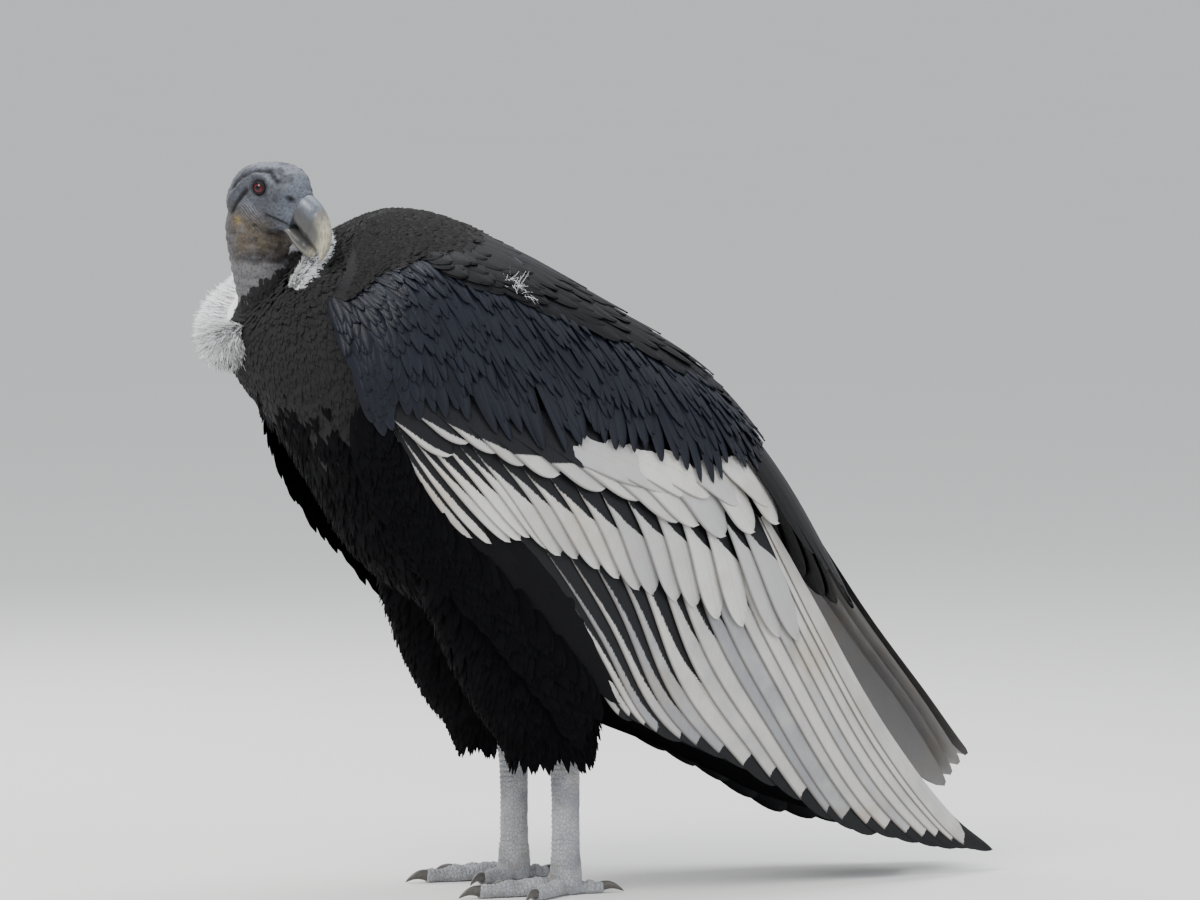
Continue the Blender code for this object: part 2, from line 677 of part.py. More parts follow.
PRIMARY = [
    (0.300, 0.950, 0.600, 0.955), (0.300, 0.940, 0.700, 0.950), (0.300, 0.930, 0.800, 0.920),
    (0.300, 0.920, 0.880, 0.880), (0.300, 0.910, 0.935, 0.820), (0.300, 0.900, 0.962, 0.760),
]


def between(rows, low, high):
    """A patch that runs along a tier and from the share low to the share high across it."""
    def place(a, b):
        r = spline(rows, a)
        k = low + (high - low) * b
        return r[..., 0] + (r[..., 2] - r[..., 0]) * k, r[..., 1] + (r[..., 3] - r[..., 1]) * k
    return place


def wing(tag, side):
    rng = random.Random(3 if side > 0 else 5)

    def level(height):
        return lambda a, b: height + 0.0 * a

    def under(a, b):
        return np.interp(b, [0, 0.42, 0.58, 1.0], [-0.038, -0.036, -0.0066, -0.0066])

    coverts = slab(between(SHOULDER, 0.0, 1.0), 8, 6, level(-0.0045), under, side)
    short = {'steps': (0, 0.4, 1)}
    raised = {'steps': (0, 0.4, 1), 'ridge': 0.0004}
    vanes = tier(LESSER_UPPER, 5, (0.044, 0.036), 0.0006, -0.0012, side, rng, **raised)
    vanes += tier(LESSER_LOWER, 4, (0.046, 0.038), -0.0018, -0.0010, side, rng, **raised)
    vanes += tier(TERTIAL, 2, (0.022, 0.022), -0.0042, 0.0, side, rng, root=-0.0054)
    if side < 0:
        loose = (0.420, 0.10, 0.900, 0.13)
        vanes.append(vane(loose, 0.027, -0.0038, 0.0, side, root=-0.0054, ridge=0.0005, rise=0.042))
    boolean(coverts, vanes, 'UNION')
    boolean(coverts, [torso_clear()], 'DIFFERENCE')
    coverts.name = 'wing_coverts_' + tag
    finish(coverts, BLACK, 0.55)

    bar = [(m[0], m[1], g[2], g[3]) for m, g in zip(MEDIAN, GREATER)]
    flight = slab(between(bar, 0.02, 0.72), 10, 4, level(-0.0145), level(-0.0175), side)
    vanes = tier(MEDIAN, 6, (0.030, 0.032), -0.0084, -0.0010, side, rng, root=-0.0158, **raised)
    vanes += tier(GREATER, 6, (0.029, 0.032), -0.0122, -0.0010, side, rng, root=-0.0160, **raised)
    vanes += tier(SECONDARY, 9, (0.020, 0.023), -0.0162, -0.0012, side, rng, root=-0.0160)
    boolean(flight, vanes, 'UNION')
    flight.name = 'wing_secondaries_' + tag
    finish(flight, WHITE, 0.6)

    tip = slab(lambda a, b: (0.125 + 0.215 * a, 0.86 + 0.15 * b), 6, 3, level(-0.0207), level(-0.0300), side)
    vanes = tier(PRIMARY_COVERT, 3, (0.030, 0.030), -0.0198, -0.0006, side, rng, root=-0.0230, **short)
    for n in range(4):
        row = spline(PRIMARY, n / 3)
        deep = -0.0222 - 0.0022 * n
        vanes.append(vane(row, 0.019, -0.0212 - 0.0024 * n, 0.0, side, root=deep, steps=(0, 0.5, 0.85, 1)))
    boolean(tip, vanes, 'UNION')
    tip.name = 'wing_primaries_' + tag
    finish(tip, BLACK, 0.5)


for tag, side in (('left', 1), ('right', -1)):
    wing(tag, side)

for obj in bpy.data.objects:
    obj.data.name = obj.name

# The row's origin is the middle of the base of the whole bird's box
corners = np.array([v.co[:] for obj in bpy.data.objects for v in obj.data.vertices])
shift = -(corners.min(0) + corners.max(0)) / 2
shift[2] = -corners[:, 2].min()
for obj in bpy.data.objects:
    for vert in obj.data.vertices:
        vert.co.x += shift[0]
        vert.co.y += shift[1]
        vert.co.z += shift[2]
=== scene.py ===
import math
from types import SimpleNamespace
import bpy
import numpy as np
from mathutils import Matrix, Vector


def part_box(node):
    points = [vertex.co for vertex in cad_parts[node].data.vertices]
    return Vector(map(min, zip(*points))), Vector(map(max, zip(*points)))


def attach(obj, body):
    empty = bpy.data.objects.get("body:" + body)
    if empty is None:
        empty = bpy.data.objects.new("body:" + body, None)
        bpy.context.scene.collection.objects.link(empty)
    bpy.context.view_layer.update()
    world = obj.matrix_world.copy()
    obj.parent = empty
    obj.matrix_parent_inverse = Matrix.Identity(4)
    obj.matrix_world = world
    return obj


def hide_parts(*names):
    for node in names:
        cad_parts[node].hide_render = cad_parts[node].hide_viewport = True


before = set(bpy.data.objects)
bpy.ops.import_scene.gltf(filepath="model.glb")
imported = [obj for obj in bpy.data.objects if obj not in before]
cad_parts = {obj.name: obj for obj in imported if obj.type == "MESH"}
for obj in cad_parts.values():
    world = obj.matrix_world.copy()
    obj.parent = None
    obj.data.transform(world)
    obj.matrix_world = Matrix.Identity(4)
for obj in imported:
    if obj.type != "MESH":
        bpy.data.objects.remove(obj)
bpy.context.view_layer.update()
scene = bpy.context.scene
SIDES = (("left", 1), ("right", -1))
X_AXIS = np.array([1.0, 0.0, 0.0])
Z_AXIS = np.array([0.0, 0.0, 1.0])

# Camera at the photograph's viewing angle
VIEW_AZIMUTH = math.radians(68.0)
VIEW_ELEVATION = math.radians(4.0)
VIEW_DISTANCE = 9.0
VIEW_TARGET = np.array([-0.0003, 0.0054, 0.436])
VIEW_LENS = 270.0
SENSOR_WIDTH = 36.0


def camera():
    back = np.array([
        math.sin(VIEW_AZIMUTH) * math.cos(VIEW_ELEVATION),
        -math.cos(VIEW_AZIMUTH) * math.cos(VIEW_ELEVATION),
        math.sin(VIEW_ELEVATION),
    ])
    data = bpy.data.cameras.new("camera")
    data.lens = VIEW_LENS
    data.sensor_width = SENSOR_WIDTH
    data.clip_end = 200.0
    obj = bpy.data.objects.new("camera", data)
    scene.collection.objects.link(obj)
    obj.location = VIEW_TARGET + VIEW_DISTANCE * back
    obj.rotation_euler = (math.pi / 2 - VIEW_ELEVATION, 0.0, VIEW_AZIMUTH)
    scene.camera = obj


camera()

# Torso sections from breast to rump: dorsal y, z, ventral y, z, half width
TORSO = [
    (-0.324, 0.556, -0.328, 0.546, 0.008),
    (-0.275, 0.610, -0.312, 0.502, 0.076),
    (-0.225, 0.640, -0.266, 0.444, 0.112),
    (-0.150, 0.662, -0.226, 0.385, 0.127),
    (-0.055, 0.632, -0.184, 0.320, 0.128),
    (0.045, 0.560, -0.095, 0.258, 0.118),
    (0.132, 0.470, -0.010, 0.218, 0.100),
    (0.190, 0.360, 0.095, 0.205, 0.070),
    (0.205, 0.262, 0.195, 0.250, 0.008),
]

# Outer surface of a folded wing from shoulder to tip: dorsal y, z, lower edge y, z, half width
WING = [
    (-0.225, 0.630, -0.268, 0.575, 0.100),
    (-0.150, 0.664, -0.244, 0.484, 0.145),
    (-0.050, 0.634, -0.193, 0.402, 0.163),
    (0.067, 0.568, -0.088, 0.300, 0.168),
    (0.169, 0.504, -0.012, 0.215, 0.164),
    (0.249, 0.412, 0.058, 0.148, 0.155),
    (0.309, 0.314, 0.172, 0.098, 0.138),
    (0.356, 0.232, 0.282, 0.041, 0.115),
    (0.404, 0.154, 0.366, 0.017, 0.092),
    (0.452, 0.074, 0.434, 0.001, 0.072),
    (0.494, 0.026, 0.488, -0.006, 0.052),
]
WING_ARC = math.radians(115.0)
MIDLINE = 0.0022
BACK_SEAM = 0.0004
WING_END = 1.10

# Thigh sections: centre, half width, half length
THIGH = [
    (0.052, -0.070, 0.350, 0.050, 0.080),
    (0.060, -0.062, 0.290, 0.050, 0.080),
    (0.066, -0.050, 0.238, 0.047, 0.072),
    (0.069, -0.037, 0.195, 0.044, 0.063),
    (0.070, -0.026, 0.165, 0.040, 0.055),
    (0.070, -0.018, 0.146, 0.034, 0.047),
    (0.070, -0.014, 0.108, 0.024, 0.034),
]

# Head axes: beak direction, up, and the bird's left; head measures are in millimetres
HEAD_AT = np.array([0.0126, -0.2995, 0.695])
HEAD_F = np.array([0.741, 0.480, -0.469])
HEAD_U = np.array([0.394, 0.255, 0.883])
HEAD_S = np.array([-0.543, 0.839, 0.0])
# Head rings from nape to bill: forward, crown, chin, half width
HEAD = [
    (-23, -4, -18, 4),
    (-20, 5, -29, 15),
    (-12, 14, -40, 25),
    (0, 22.5, -45.5, 29.5),
    (12, 29, -45, 30),
    (26, 33, -39, 28),
    (38, 33, -32, 24.5),
    (48, 28, -26.5, 19),
    (56, 22, -26, 15.5),
    (60, 19.5, -26, 14),
]
# Neck rings from the head down, in metres: centre, radius
NECK = [
    (0.001, -0.294, 0.672, 0.0290),
    (0.000, -0.297, 0.650, 0.0315),
    (0.000, -0.296, 0.620, 0.0282),
    (0.000, -0.288, 0.585, 0.0285),
    (0.000, -0.276, 0.545, 0.0330),
]
# Bill rings: upper edge forward and up, lower edge forward and up, half width
BILL_UPPER = [
    (60.5, 19.0, 60.5, -13.8, 13.3), (68, 18.0, 68, -15.5, 12.9), (77, 15.5, 76, -18.0, 12.0),
    (86, 11.0, 84, -20.5, 10.8), (94, 4.5, 90, -23.0, 9.0), (100.5, -4, 95, -25, 6.8),
    (104, -14, 98.5, -27.5, 4.6), (103.5, -24.5, 99.5, -31.5, 2.6), (101.5, -32.5, 100.2, -33.2, 0.5),
]
BILL_LOWER = [
    (60.5, -16.0, 60.5, -26.5, 12.0), (67.5, -17.8, 66.5, -30, 11.4), (76.5, -20.2, 74.5, -33.5, 10.2),
    (84, -22.8, 82, -35.5, 8.0), (89.5, -25.3, 88.5, -35, 5.4), (93.5, -27.9, 93, -31.0, 1.2),
]
# Height of the floor in the bird's own frame
GROUND = -0.015


# Numbers and surfaces

def spline(rows, t):
    """Smooth values between evenly spaced rows."""
    rows = np.asarray(rows, float)
    x = np.clip(np.asarray(t, float), 0.0, 1.0) * (len(rows) - 1)
    i = np.minimum(np.floor(x).astype(int), len(rows) - 2)
    f = (x - i)[..., None]
    a = rows[np.maximum(i - 1, 0)]
    b = rows[i]
    c = rows[i + 1]
    d = rows[np.minimum(i + 2, len(rows) - 1)]
    bend = 3 * b - a - 3 * c + d
    return 0.5 * (2 * b + (c - a) * f + (2 * a - 5 * b + 4 * c - d) * f * f + bend * f ** 3)


def unit(v):
    return v / np.maximum(np.linalg.norm(v, axis=-1, keepdims=True), 1e-12)


def ease(x, low, high):
    k = np.clip((x - low) / (high - low), 0, 1)
    return k * k * (3 - 2 * k)


def bump(distance, radius):
    return np.exp(-(distance / radius) ** 2)


def swing(high, low, c):
    """Values from high at c = 1 to low at c = -1."""
    return (high + low) / 2 + (high - low) / 2 * c


def around(count):
    """Angles of a full turn."""
    return np.linspace(0, 2 * math.pi, count, endpoint=False)


def lattice(count, k, js):
    """Places along and across each of count feathers."""
    size = np.zeros((count, len(k), len(js)))
    return k[None, :, None] + size, js[None, None, :] + size


def paint(tint, layers):
    """The tint after each layer's colour is laid on by its amount."""
    for amount, colour in layers:
        tint = tint + amount[..., None] * (np.array(colour) - tint)
    return tint


def hashed(i, j, k, seed):
    n = (i * 73856093) ^ (j * 19349663) ^ (k * 83492791) ^ (seed * 2654435761)
    n = (n ^ (n >> 13)) * 1274126177
    n = n ^ (n >> 16)
    return (n & 0xFFFF) / 65535.0 * 2 - 1


def noise(points, scale, seed=1):
    """Smooth noise from -1 to 1 at points in space, with cells of 1 / scale."""
    p = points * scale
    base = np.floor(p).astype(np.int64)
    f = p - base
    f = f * f * (3 - 2 * f)
    total = 0.0
    for a in (0, 1):
        for b in (0, 1):
            for c in (0, 1):
                w = (f[..., 0] if a else 1 - f[..., 0])
                w = w * (f[..., 1] if b else 1 - f[..., 1])
                w = w * (f[..., 2] if c else 1 - f[..., 2])
                total = total + w * hashed(base[..., 0] + a, base[..., 1] + b, base[..., 2] + c, seed)
    return total


def torso_point(t, angle):
    r = spline(TORSO, t)
    c, s = np.cos(angle), np.sin(angle)
    return np.stack([r[..., 4] * s, swing(r[..., 0], r[..., 2], c), swing(r[..., 1], r[..., 3], c)], -1)


def wing_point(t, v):
    r = spline(WING, t)
    v = np.asarray(v, float)
    f = WING_ARC * np.where(v < 0.02, 0.02 * np.exp(np.minimum(v - 0.02, 0.0) / 0.02), v)
    h = (1 - np.cos(f)) / (1 - math.cos(WING_ARC))
    y = r[..., 0] + (r[..., 2] - r[..., 0]) * h
    z = r[..., 1] + (r[..., 3] - r[..., 1]) * h
    return np.stack([MIDLINE + r[..., 4] * np.sin(f), y, z], -1)


def thigh_point(t, angle):
    r = spline(THIGH, t)
    x = r[..., 0] + r[..., 3] * np.sin(angle)
    y = r[..., 1] + r[..., 4] * np.cos(angle)
    return np.stack([x, y, r[..., 2]], -1)


def head_world(f, s, u):
    return HEAD_AT + (f[..., None] * HEAD_F + s[..., None] * HEAD_S + u[..., None] * HEAD_U) / 1000.0


def head_local(points):
    d = (points - HEAD_AT) * 1000.0
    return d @ HEAD_F, d @ HEAD_S, d @ HEAD_U


def eye_centre(side):
    return head_world(np.array(20.0), np.array(24.5 * side), np.array(6.0))


# The bird's own frame moves to the row frame by the place of the left eye
eye_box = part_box("eye_left")
SHIFT = (np.array(eye_box[0]) + np.array(eye_box[1])) / 2 - eye_centre(1)


# Meshes

def add_fields(mesh, fields):
    """Numbers or vectors stored at the points, for the materials."""
    for key, values in fields.items():
        values = np.asarray(values, np.float32)
        if values.ndim == 1:
            mesh.attributes.new(key, "FLOAT", "POINT").data.foreach_set("value", values)
        else:
            mesh.attributes.new(key, "FLOAT_VECTOR", "POINT").data.foreach_set("vector", values.ravel())


def make(name, points, faces, material, fields=None, maps=None, normals=None):
    """An object from arrays, with per-point fields, texture maps and, for soft down, shading normals."""
    points = np.asarray(points, np.float32).reshape(-1, 3) + SHIFT.astype(np.float32)
    faces = np.asarray(faces, np.int32)
    mesh = bpy.data.meshes.new(name)
    mesh.vertices.add(len(points))
    mesh.vertices.foreach_set("co", points.ravel())
    count, corners = faces.shape
    mesh.loops.add(count * corners)
    mesh.loops.foreach_set("vertex_index", faces.ravel())
    mesh.polygons.add(count)
    mesh.polygons.foreach_set("loop_start", np.arange(0, count * corners, corners, dtype=np.int32))
    mesh.update(calc_edges=True)
    add_fields(mesh, fields or {})
    for key, values in (maps or {}).items():
        layer = mesh.uv_layers.new(name=key)
        layer.uv.foreach_set("vector", np.asarray(values, np.float32)[faces.ravel()].ravel())
    mesh.shade_smooth()
    if normals is not None:
        mesh.normals_split_custom_set_from_vertices(np.asarray(normals, np.float32).reshape(-1, 3))
    mesh.materials.append(material)
    obj = bpy.data.objects.new(name, mesh)
    scene.collection.objects.link(obj)
    return obj


def grid_faces(count, n, m, wrap=False):
    """Quads of count grids of n by m points, one after another."""
    cols = m if wrap else m - 1
    i = np.arange(n - 1)[:, None]
    j = np.arange(cols)[None, :]
    k = (j + 1) % m
    quad = np.stack([i * m + j, i * m + k, (i + 1) * m + k, (i + 1) * m + j], -1).reshape(-1, 4)
    return (quad[None] + (np.arange(count) * n * m)[:, None, None]).reshape(-1, 4)


def tube(rings):
    """A closed tube from equal rings, as points and four-sided faces."""
    rings = np.asarray(rings, float)
    n, m = rings.shape[:2]
    first = rings[0].mean(0)
    last = rings[-1].mean(0)
    caps = np.concatenate([np.repeat(first[None, None], m, 1), rings, np.repeat(last[None, None], m, 1)])
    return caps.reshape(-1, 3), grid_faces(1, n + 2, m, wrap=True)


def outward(obj):
    """Faces of a closed mesh turned to its outside."""
    mesh = obj.data
    points = np.zeros(len(mesh.vertices) * 3, np.float32)
    mesh.vertices.foreach_get("co", points)
    points = points.reshape(-1, 3)
    mesh.calc_loop_triangles()
    tris = np.zeros(len(mesh.loop_triangles) * 3, np.int32)
    mesh.loop_triangles.foreach_get("vertices", tris)
    a, b, c = points[tris.reshape(-1, 3)].transpose(1, 0, 2)
    if np.einsum("ij,ij->i", a, np.cross(b, c)).sum() < 0:
        mesh.flip_normals()
    return obj


def join(shapes):
    """Points and faces of several shapes in one."""
    starts = np.cumsum([0] + [len(points) for points, faces in shapes])
    faces = [shape[1] + start for shape, start in zip(shapes, starts)]
    return np.concatenate([shape[0] for shape in shapes]), np.concatenate(faces)


def fuse(name, shapes, voxel, material, smoothing=2):
    """One skin from several closed shapes."""
    parts = [outward(make(name + str(n), *shape, material)) for n, shape in enumerate(shapes)]
    main = parts[0]
    chosen = {"active_object": main, "selected_editable_objects": parts, "selected_objects": parts}
    with bpy.context.temp_override(**chosen):
        bpy.ops.object.join()
    main.name = name
    mod = main.modifiers.new("remesh", "REMESH")
    mod.mode = "VOXEL"
    mod.voxel_size = voxel
    if smoothing:
        soft = main.modifiers.new("smooth", "SMOOTH")
        soft.iterations = smoothing
        soft.factor = 0.5
    graph = bpy.context.evaluated_depsgraph_get()
    mesh = bpy.data.meshes.new_from_object(main.evaluated_get(graph))
    main.modifiers.clear()
    main.data = mesh
    mesh.name = name
    mesh.materials.clear()
    mesh.materials.append(material)
    mesh.shade_smooth()
    return main


def read_points(obj):
    points = np.zeros(len(obj.data.vertices) * 3, np.float32)
    obj.data.vertices.foreach_get("co", points)
    normals = np.zeros(len(obj.data.vertices) * 3, np.float32)
    obj.data.vertex_normals.foreach_get("vector", normals)
    return points.reshape(-1, 3).astype(float) - SHIFT, normals.reshape(-1, 3).astype(float)


def write_points(obj, points, fields=None):
    obj.data.vertices.foreach_set("co", (points + SHIFT).astype(np.float32).ravel())
    add_fields(obj.data, fields or {})
    obj.data.update()


def wear(obj, slot, *nodes):
    """Bind a piece to the body, and hide the CAD nodes that it replaces."""
    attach(obj, "root")
    if nodes:
        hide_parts(*nodes)
    return obj


# Materials

class Look:
    """A node material built up from small steps."""

    def __init__(self, name, roughness, specular):
        self.mat = bpy.data.materials.new(name)
        self.mat.use_nodes = True
        self.tree = self.mat.node_tree
        self.shader = self.tree.nodes["Principled BSDF"]
        self.shader.inputs["Roughness"].default_value = roughness
        self.shader.inputs["Specular IOR Level"].default_value = specular

    def plug(self, value, socket):
        if isinstance(value, bpy.types.NodeSocket):
            self.tree.links.new(value, socket)
        elif isinstance(value, (tuple, list)) and len(value) == 3 and socket.type == "RGBA":
            socket.default_value = (*value, 1.0)
        else:
            socket.default_value = value

    def math(self, kind, a, b=0.0):
        node = self.tree.nodes.new("ShaderNodeMath")
        node.operation = kind
        self.plug(a, node.inputs[0])
        self.plug(b, node.inputs[1])
        return node.outputs[0]

    def times(self, a, b):
        return self.math("MULTIPLY", a, b)

    def plus(self, a, b):
        return self.math("ADD", a, b)

    def mix(self, share, a, b):
        node = self.tree.nodes.new("ShaderNodeMix")
        node.data_type = "RGBA"
        self.plug(share, node.inputs["Factor"])
        self.plug(a, node.inputs[6])
        self.plug(b, node.inputs[7])
        return node.outputs[2]

    def span(self, value, low, high, to_low=0.0, to_high=1.0):
        node = self.tree.nodes.new("ShaderNodeMapRange")
        node.interpolation_type = "SMOOTHSTEP"
        self.plug(value, node.inputs["Value"])
        node.inputs["From Min"].default_value = low
        node.inputs["From Max"].default_value = high
        node.inputs["To Min"].default_value = to_low
        node.inputs["To Max"].default_value = to_high
        return node.outputs[0]

    def place(self):
        return self.tree.nodes.new("ShaderNodeTexCoord").outputs["Object"]

    def field(self, name, vector=False):
        node = self.tree.nodes.new("ShaderNodeAttribute")
        node.attribute_name = name
        return node.outputs["Vector" if vector else "Fac"]

    def scaled(self, vector, scale):
        node = self.tree.nodes.new("ShaderNodeVectorMath")
        node.operation = "MULTIPLY"
        self.plug(vector, node.inputs[0])
        node.inputs[1].default_value = scale
        return node.outputs[0]

    def noise(self, scale, vector=None, detail=3.0):
        node = self.tree.nodes.new("ShaderNodeTexNoise")
        node.inputs["Scale"].default_value = scale
        node.inputs["Detail"].default_value = detail
        node.inputs["Roughness"].default_value = 0.55
        self.plug(vector if vector is not None else self.place(), node.inputs["Vector"])
        return node.outputs["Fac"]

    def cells(self, scale, vector=None):
        node = self.tree.nodes.new("ShaderNodeTexVoronoi")
        node.feature = "DISTANCE_TO_EDGE"
        node.inputs["Scale"].default_value = scale
        self.plug(vector if vector is not None else self.place(), node.inputs["Vector"])
        return node.outputs["Distance"]

    def bump(self, height, strength, distance):
        node = self.tree.nodes.new("ShaderNodeBump")
        node.inputs["Strength"].default_value = strength
        node.inputs["Distance"].default_value = distance
        self.plug(height, node.inputs["Height"])
        self.tree.links.new(node.outputs["Normal"], self.shader.inputs["Normal"])

    def colour(self, value):
        self.plug(value, self.shader.inputs["Base Color"])

    def rough(self, value):
        self.plug(value, self.shader.inputs["Roughness"])

    def sheen(self, weight, roughness):
        self.shader.inputs["Sheen Weight"].default_value = weight
        self.shader.inputs["Sheen Roughness"].default_value = roughness


COOL_SHADE = (0.36, 0.37, 0.40)
CREAM_STAIN = (0.42, 0.34, 0.24)
PAINTED_EDGE_SHADOW = (0.10, 0.085, 0.075)
STEM_BROWN = (0.30, 0.27, 0.23)
WORN_RIM = (0.050, 0.045, 0.042)


def white_web(look, base, tone, streak, across, edge, pale, pale_far, shaft, line):
    """The white part of a feather, with cool and cream patches, a painted shadow line along one edge and a
    stem.
    """
    split = look.times(look.math("SUBTRACT", streak, 0.5), 0.30)
    white = look.span(look.plus(look.field("mark"), split), -0.03, 0.05)
    tint = look.mix(look.span(tone, 0.25, 0.80), pale, pale_far)
    tint = look.mix(look.times(look.span(streak, 0.4, 0.8), 0.35), tint, COOL_SHADE)
    tint = look.mix(look.times(look.span(look.noise(12.0), 0.48, 0.70), 0.45), tint, CREAM_STAIN)
    near = look.times(edge, -1.0)
    # Painted shadow: a dark brown line along the feather's raised edge, as strong as line, for the shade
    # between feathers
    tint = look.mix(look.times(look.span(near, 0.80, 1.0), line), tint, PAINTED_EDGE_SHADOW)
    stem = look.span(look.math("ABSOLUTE", across), 0.0008, 0.0003)
    tint = look.mix(look.times(stem, shaft), tint, STEM_BROWN)
    return look.mix(white, base, tint)


# line sets the strength of the painted shadow line along the edge of each white feather
def feather_look(name, dark, dark_far, pale=None, pale_far=None, roughness=0.5, specular=0.4, shaft=0.0,
                 sheen=0.0, line=0.0, relief=0.5, rim=0.0):
    """Feather: barbs and shaft from its own map, dark and pale parts from the field mark."""
    look = Look(name, roughness, specular)
    if sheen:
        look.sheen(sheen, 0.45)
    parts = look.tree.nodes.new("ShaderNodeSeparateXYZ")
    look.tree.links.new(look.field("lane", vector=True), parts.inputs[0])
    across, along, edge = parts.outputs[0], parts.outputs[1], parts.outputs[2]
    shade = look.field("shade")
    slope = look.math("SUBTRACT", along, look.times(look.math("ABSOLUTE", across), 1.1))
    barb = look.tree.nodes.new("ShaderNodeCombineXYZ")
    look.tree.links.new(look.times(slope, 900.0), barb.inputs[0])
    look.tree.links.new(look.times(across, 60.0), barb.inputs[1])
    look.tree.links.new(look.times(shade, 40.0), barb.inputs[2])
    streak = look.noise(1.0, barb.outputs[0], detail=2.0)
    tone = look.plus(look.times(shade, 0.55), look.times(look.noise(28.0), 0.5))
    base = look.mix(tone, dark, dark_far)
    base = look.mix(look.times(look.span(streak, 0.35, 0.75), 0.35), base, dark)
    if rim:
        border = look.span(look.math("ABSOLUTE", edge), 0.80, 1.0)
        base = look.mix(look.times(border, rim), base, WORN_RIM)
    if pale is not None:
        base = white_web(look, base, tone, streak, across, edge, pale, pale_far, shaft, line)
    look.colour(base)
    look.rough(look.plus(look.times(streak, 0.20), roughness - 0.10))
    look.bump(streak, relief, 0.0005)
    return look.mat


BLUE_BLACK = (0.0036, 0.0046, 0.0085)
SLATE = (0.0074, 0.0098, 0.0182)
BASE_BLACK = (0.0030, 0.0034, 0.0050)
BASE_SLATE = (0.0075, 0.0080, 0.0105)
SOOT = (0.0018, 0.0018, 0.0024)
SNOW = (0.62, 0.61, 0.58)
PEARL = (0.42, 0.415, 0.41)
IVORY = (0.58, 0.565, 0.53)
ASH = (0.25, 0.255, 0.27)
COVERT = feather_look("covert_black", BLUE_BLACK, SLATE, roughness=0.44, specular=0.22)
MANTLE = feather_look("mantle_black", (0.0022, 0.0022, 0.0030), (0.0055, 0.0055, 0.0070),
                      roughness=0.50, specular=0.14, rim=0.10)
QUILL = feather_look("quill_black", (0.0020, 0.0020, 0.0026), (0.0045, 0.0045, 0.0055),
                     roughness=0.60, specular=0.10)
TIPPED = feather_look("tipped", BASE_BLACK, BASE_SLATE, SNOW, PEARL, roughness=0.55, specular=0.25,
                      shaft=0.25, line=0.75)
PIED = feather_look("pied", BASE_BLACK, BASE_SLATE, IVORY, ASH, roughness=0.55, specular=0.25,
                    shaft=0.30, line=0.90)
BODY = feather_look("body_black", SOOT, (0.0042, 0.0042, 0.0052), roughness=0.85, specular=0.06)
BREAST = feather_look("breast_grey", (0.0205, 0.0198, 0.0200), (0.0275, 0.0268, 0.0270),
                      roughness=0.90, specular=0.05, sheen=0.05, relief=0.8)
FAR = feather_look("far_brown", (0.075, 0.068, 0.067), (0.110, 0.100, 0.097), (0.50, 0.48, 0.46),
                   (0.30, 0.29, 0.29), roughness=0.6, specular=0.2, shaft=0.2, line=0.6)


def plain_look(name, roughness, specular, mottle, dark, pale, grain, strength, depth):
    """One mottled colour with a fine grain."""
    look = Look(name, roughness, specular)
    look.colour(look.mix(look.noise(mottle), dark, pale))
    look.bump(look.noise(grain), strength, depth)
    return look.mat


UNDER = plain_look("under_black", 0.9, 0.05, 60.0, (0.0015, 0.0015, 0.002), (0.004, 0.004, 0.005),
                   500.0, 0.4, 0.001)


def down_look():
    look = Look("down_white", 0.9, 0.15)
    base = look.mix(look.field("shade"), (0.86, 0.87, 0.89), (0.93, 0.93, 0.92))
    look.colour(look.mix(look.span(look.noise(90.0), 0.5, 0.8), base, (0.74, 0.76, 0.80)))
    look.bump(look.noise(900.0), 0.35, 0.0006)
    look.sheen(0.35, 0.6)
    return look.mat


DOWN = down_look()

# Feathers laid on a surface


def frames(surface, t, q):
    """Directions along and over a surface at (t, q), and its outward normal."""
    e = 1.5e-3
    t = np.clip(t, e, 1 - e)
    along = (surface(t + e, q) - surface(t - e, q)) / (2 * e)
    over = (surface(t, q + e) - surface(t, q - e)) / (2 * e)
    return along, over, unit(np.cross(over, along))


def to_params(along, over, vector):
    """A vector in the surface as steps of its two parameters."""
    aa = np.sum(along * along, -1)
    oo = np.sum(over * over, -1)
    ao = np.sum(along * over, -1)
    va = np.sum(vector * along, -1)
    vo = np.sum(vector * over, -1)
    det = np.maximum(aa * oo - ao * ao, 1e-9)
    return (va * oo - vo * ao) / det, (vo * aa - va * ao) / det


def outline(k, root=0.55, full=0.30, tip=0.30, power=2.2, narrow=1.0):
    """Share of the half width along a feather, with a rounded end."""
    w = np.interp(k, [0, full, 1], [root, 1.0, narrow])
    x = np.clip((k - (1 - tip)) / tip, 0, 1)
    return w * np.maximum(1 - x ** power, 0.0) ** 0.5 + 0.015


def stations(n):
    """Places along a feather, closer together toward the tip."""
    return 1 - (1 - np.linspace(0, 1, n)) ** 1.35


def lay(surface, t, q, half, height, js, shape):
    """Points of feathers whose centre lines run through (t, q), their widths and their lane map."""
    along, over, normal = frames(surface, t, q)
    dt = np.gradient(t, axis=1)
    dq = np.gradient(q, axis=1)
    heading = unit(along * dt[..., None] + over * dq[..., None])
    across = unit(np.cross(normal, heading))
    st, sq = to_params(along, over, across)
    width = half[:, None, None] * shape
    wt = t[..., None] + st[..., None] * width * js
    wq = q[..., None] + sq[..., None] * width * js
    points = surface(np.clip(wt, 0.0, 1.0), wq) + frames(surface, wt, wq)[2] * height[..., None]
    centre = surface(t, q)
    steps = np.linalg.norm(np.diff(centre, axis=1), axis=-1)
    run = np.concatenate([np.zeros((len(t), 1)), np.cumsum(steps, 1)], 1)
    lane = np.stack([width * js + 0 * wt, run[..., None] + 0 * wt, js + 0 * wt], -1)
    return points, lane


# Feathers near the midline are pressed flat within this distance
SEAM = 0.002


def mirror(points, side, mid=None):
    """Points of the left side brought to their own side, none over the midline."""
    points = points.copy()
    if mid is not None:
        near = points[..., 0] - mid
        pressed = SEAM * np.exp(np.minimum(near - SEAM, 0.0) / SEAM)
        points[..., 0] = mid + np.where(near < SEAM, pressed, near)
    points[..., 0] *= side
    return points


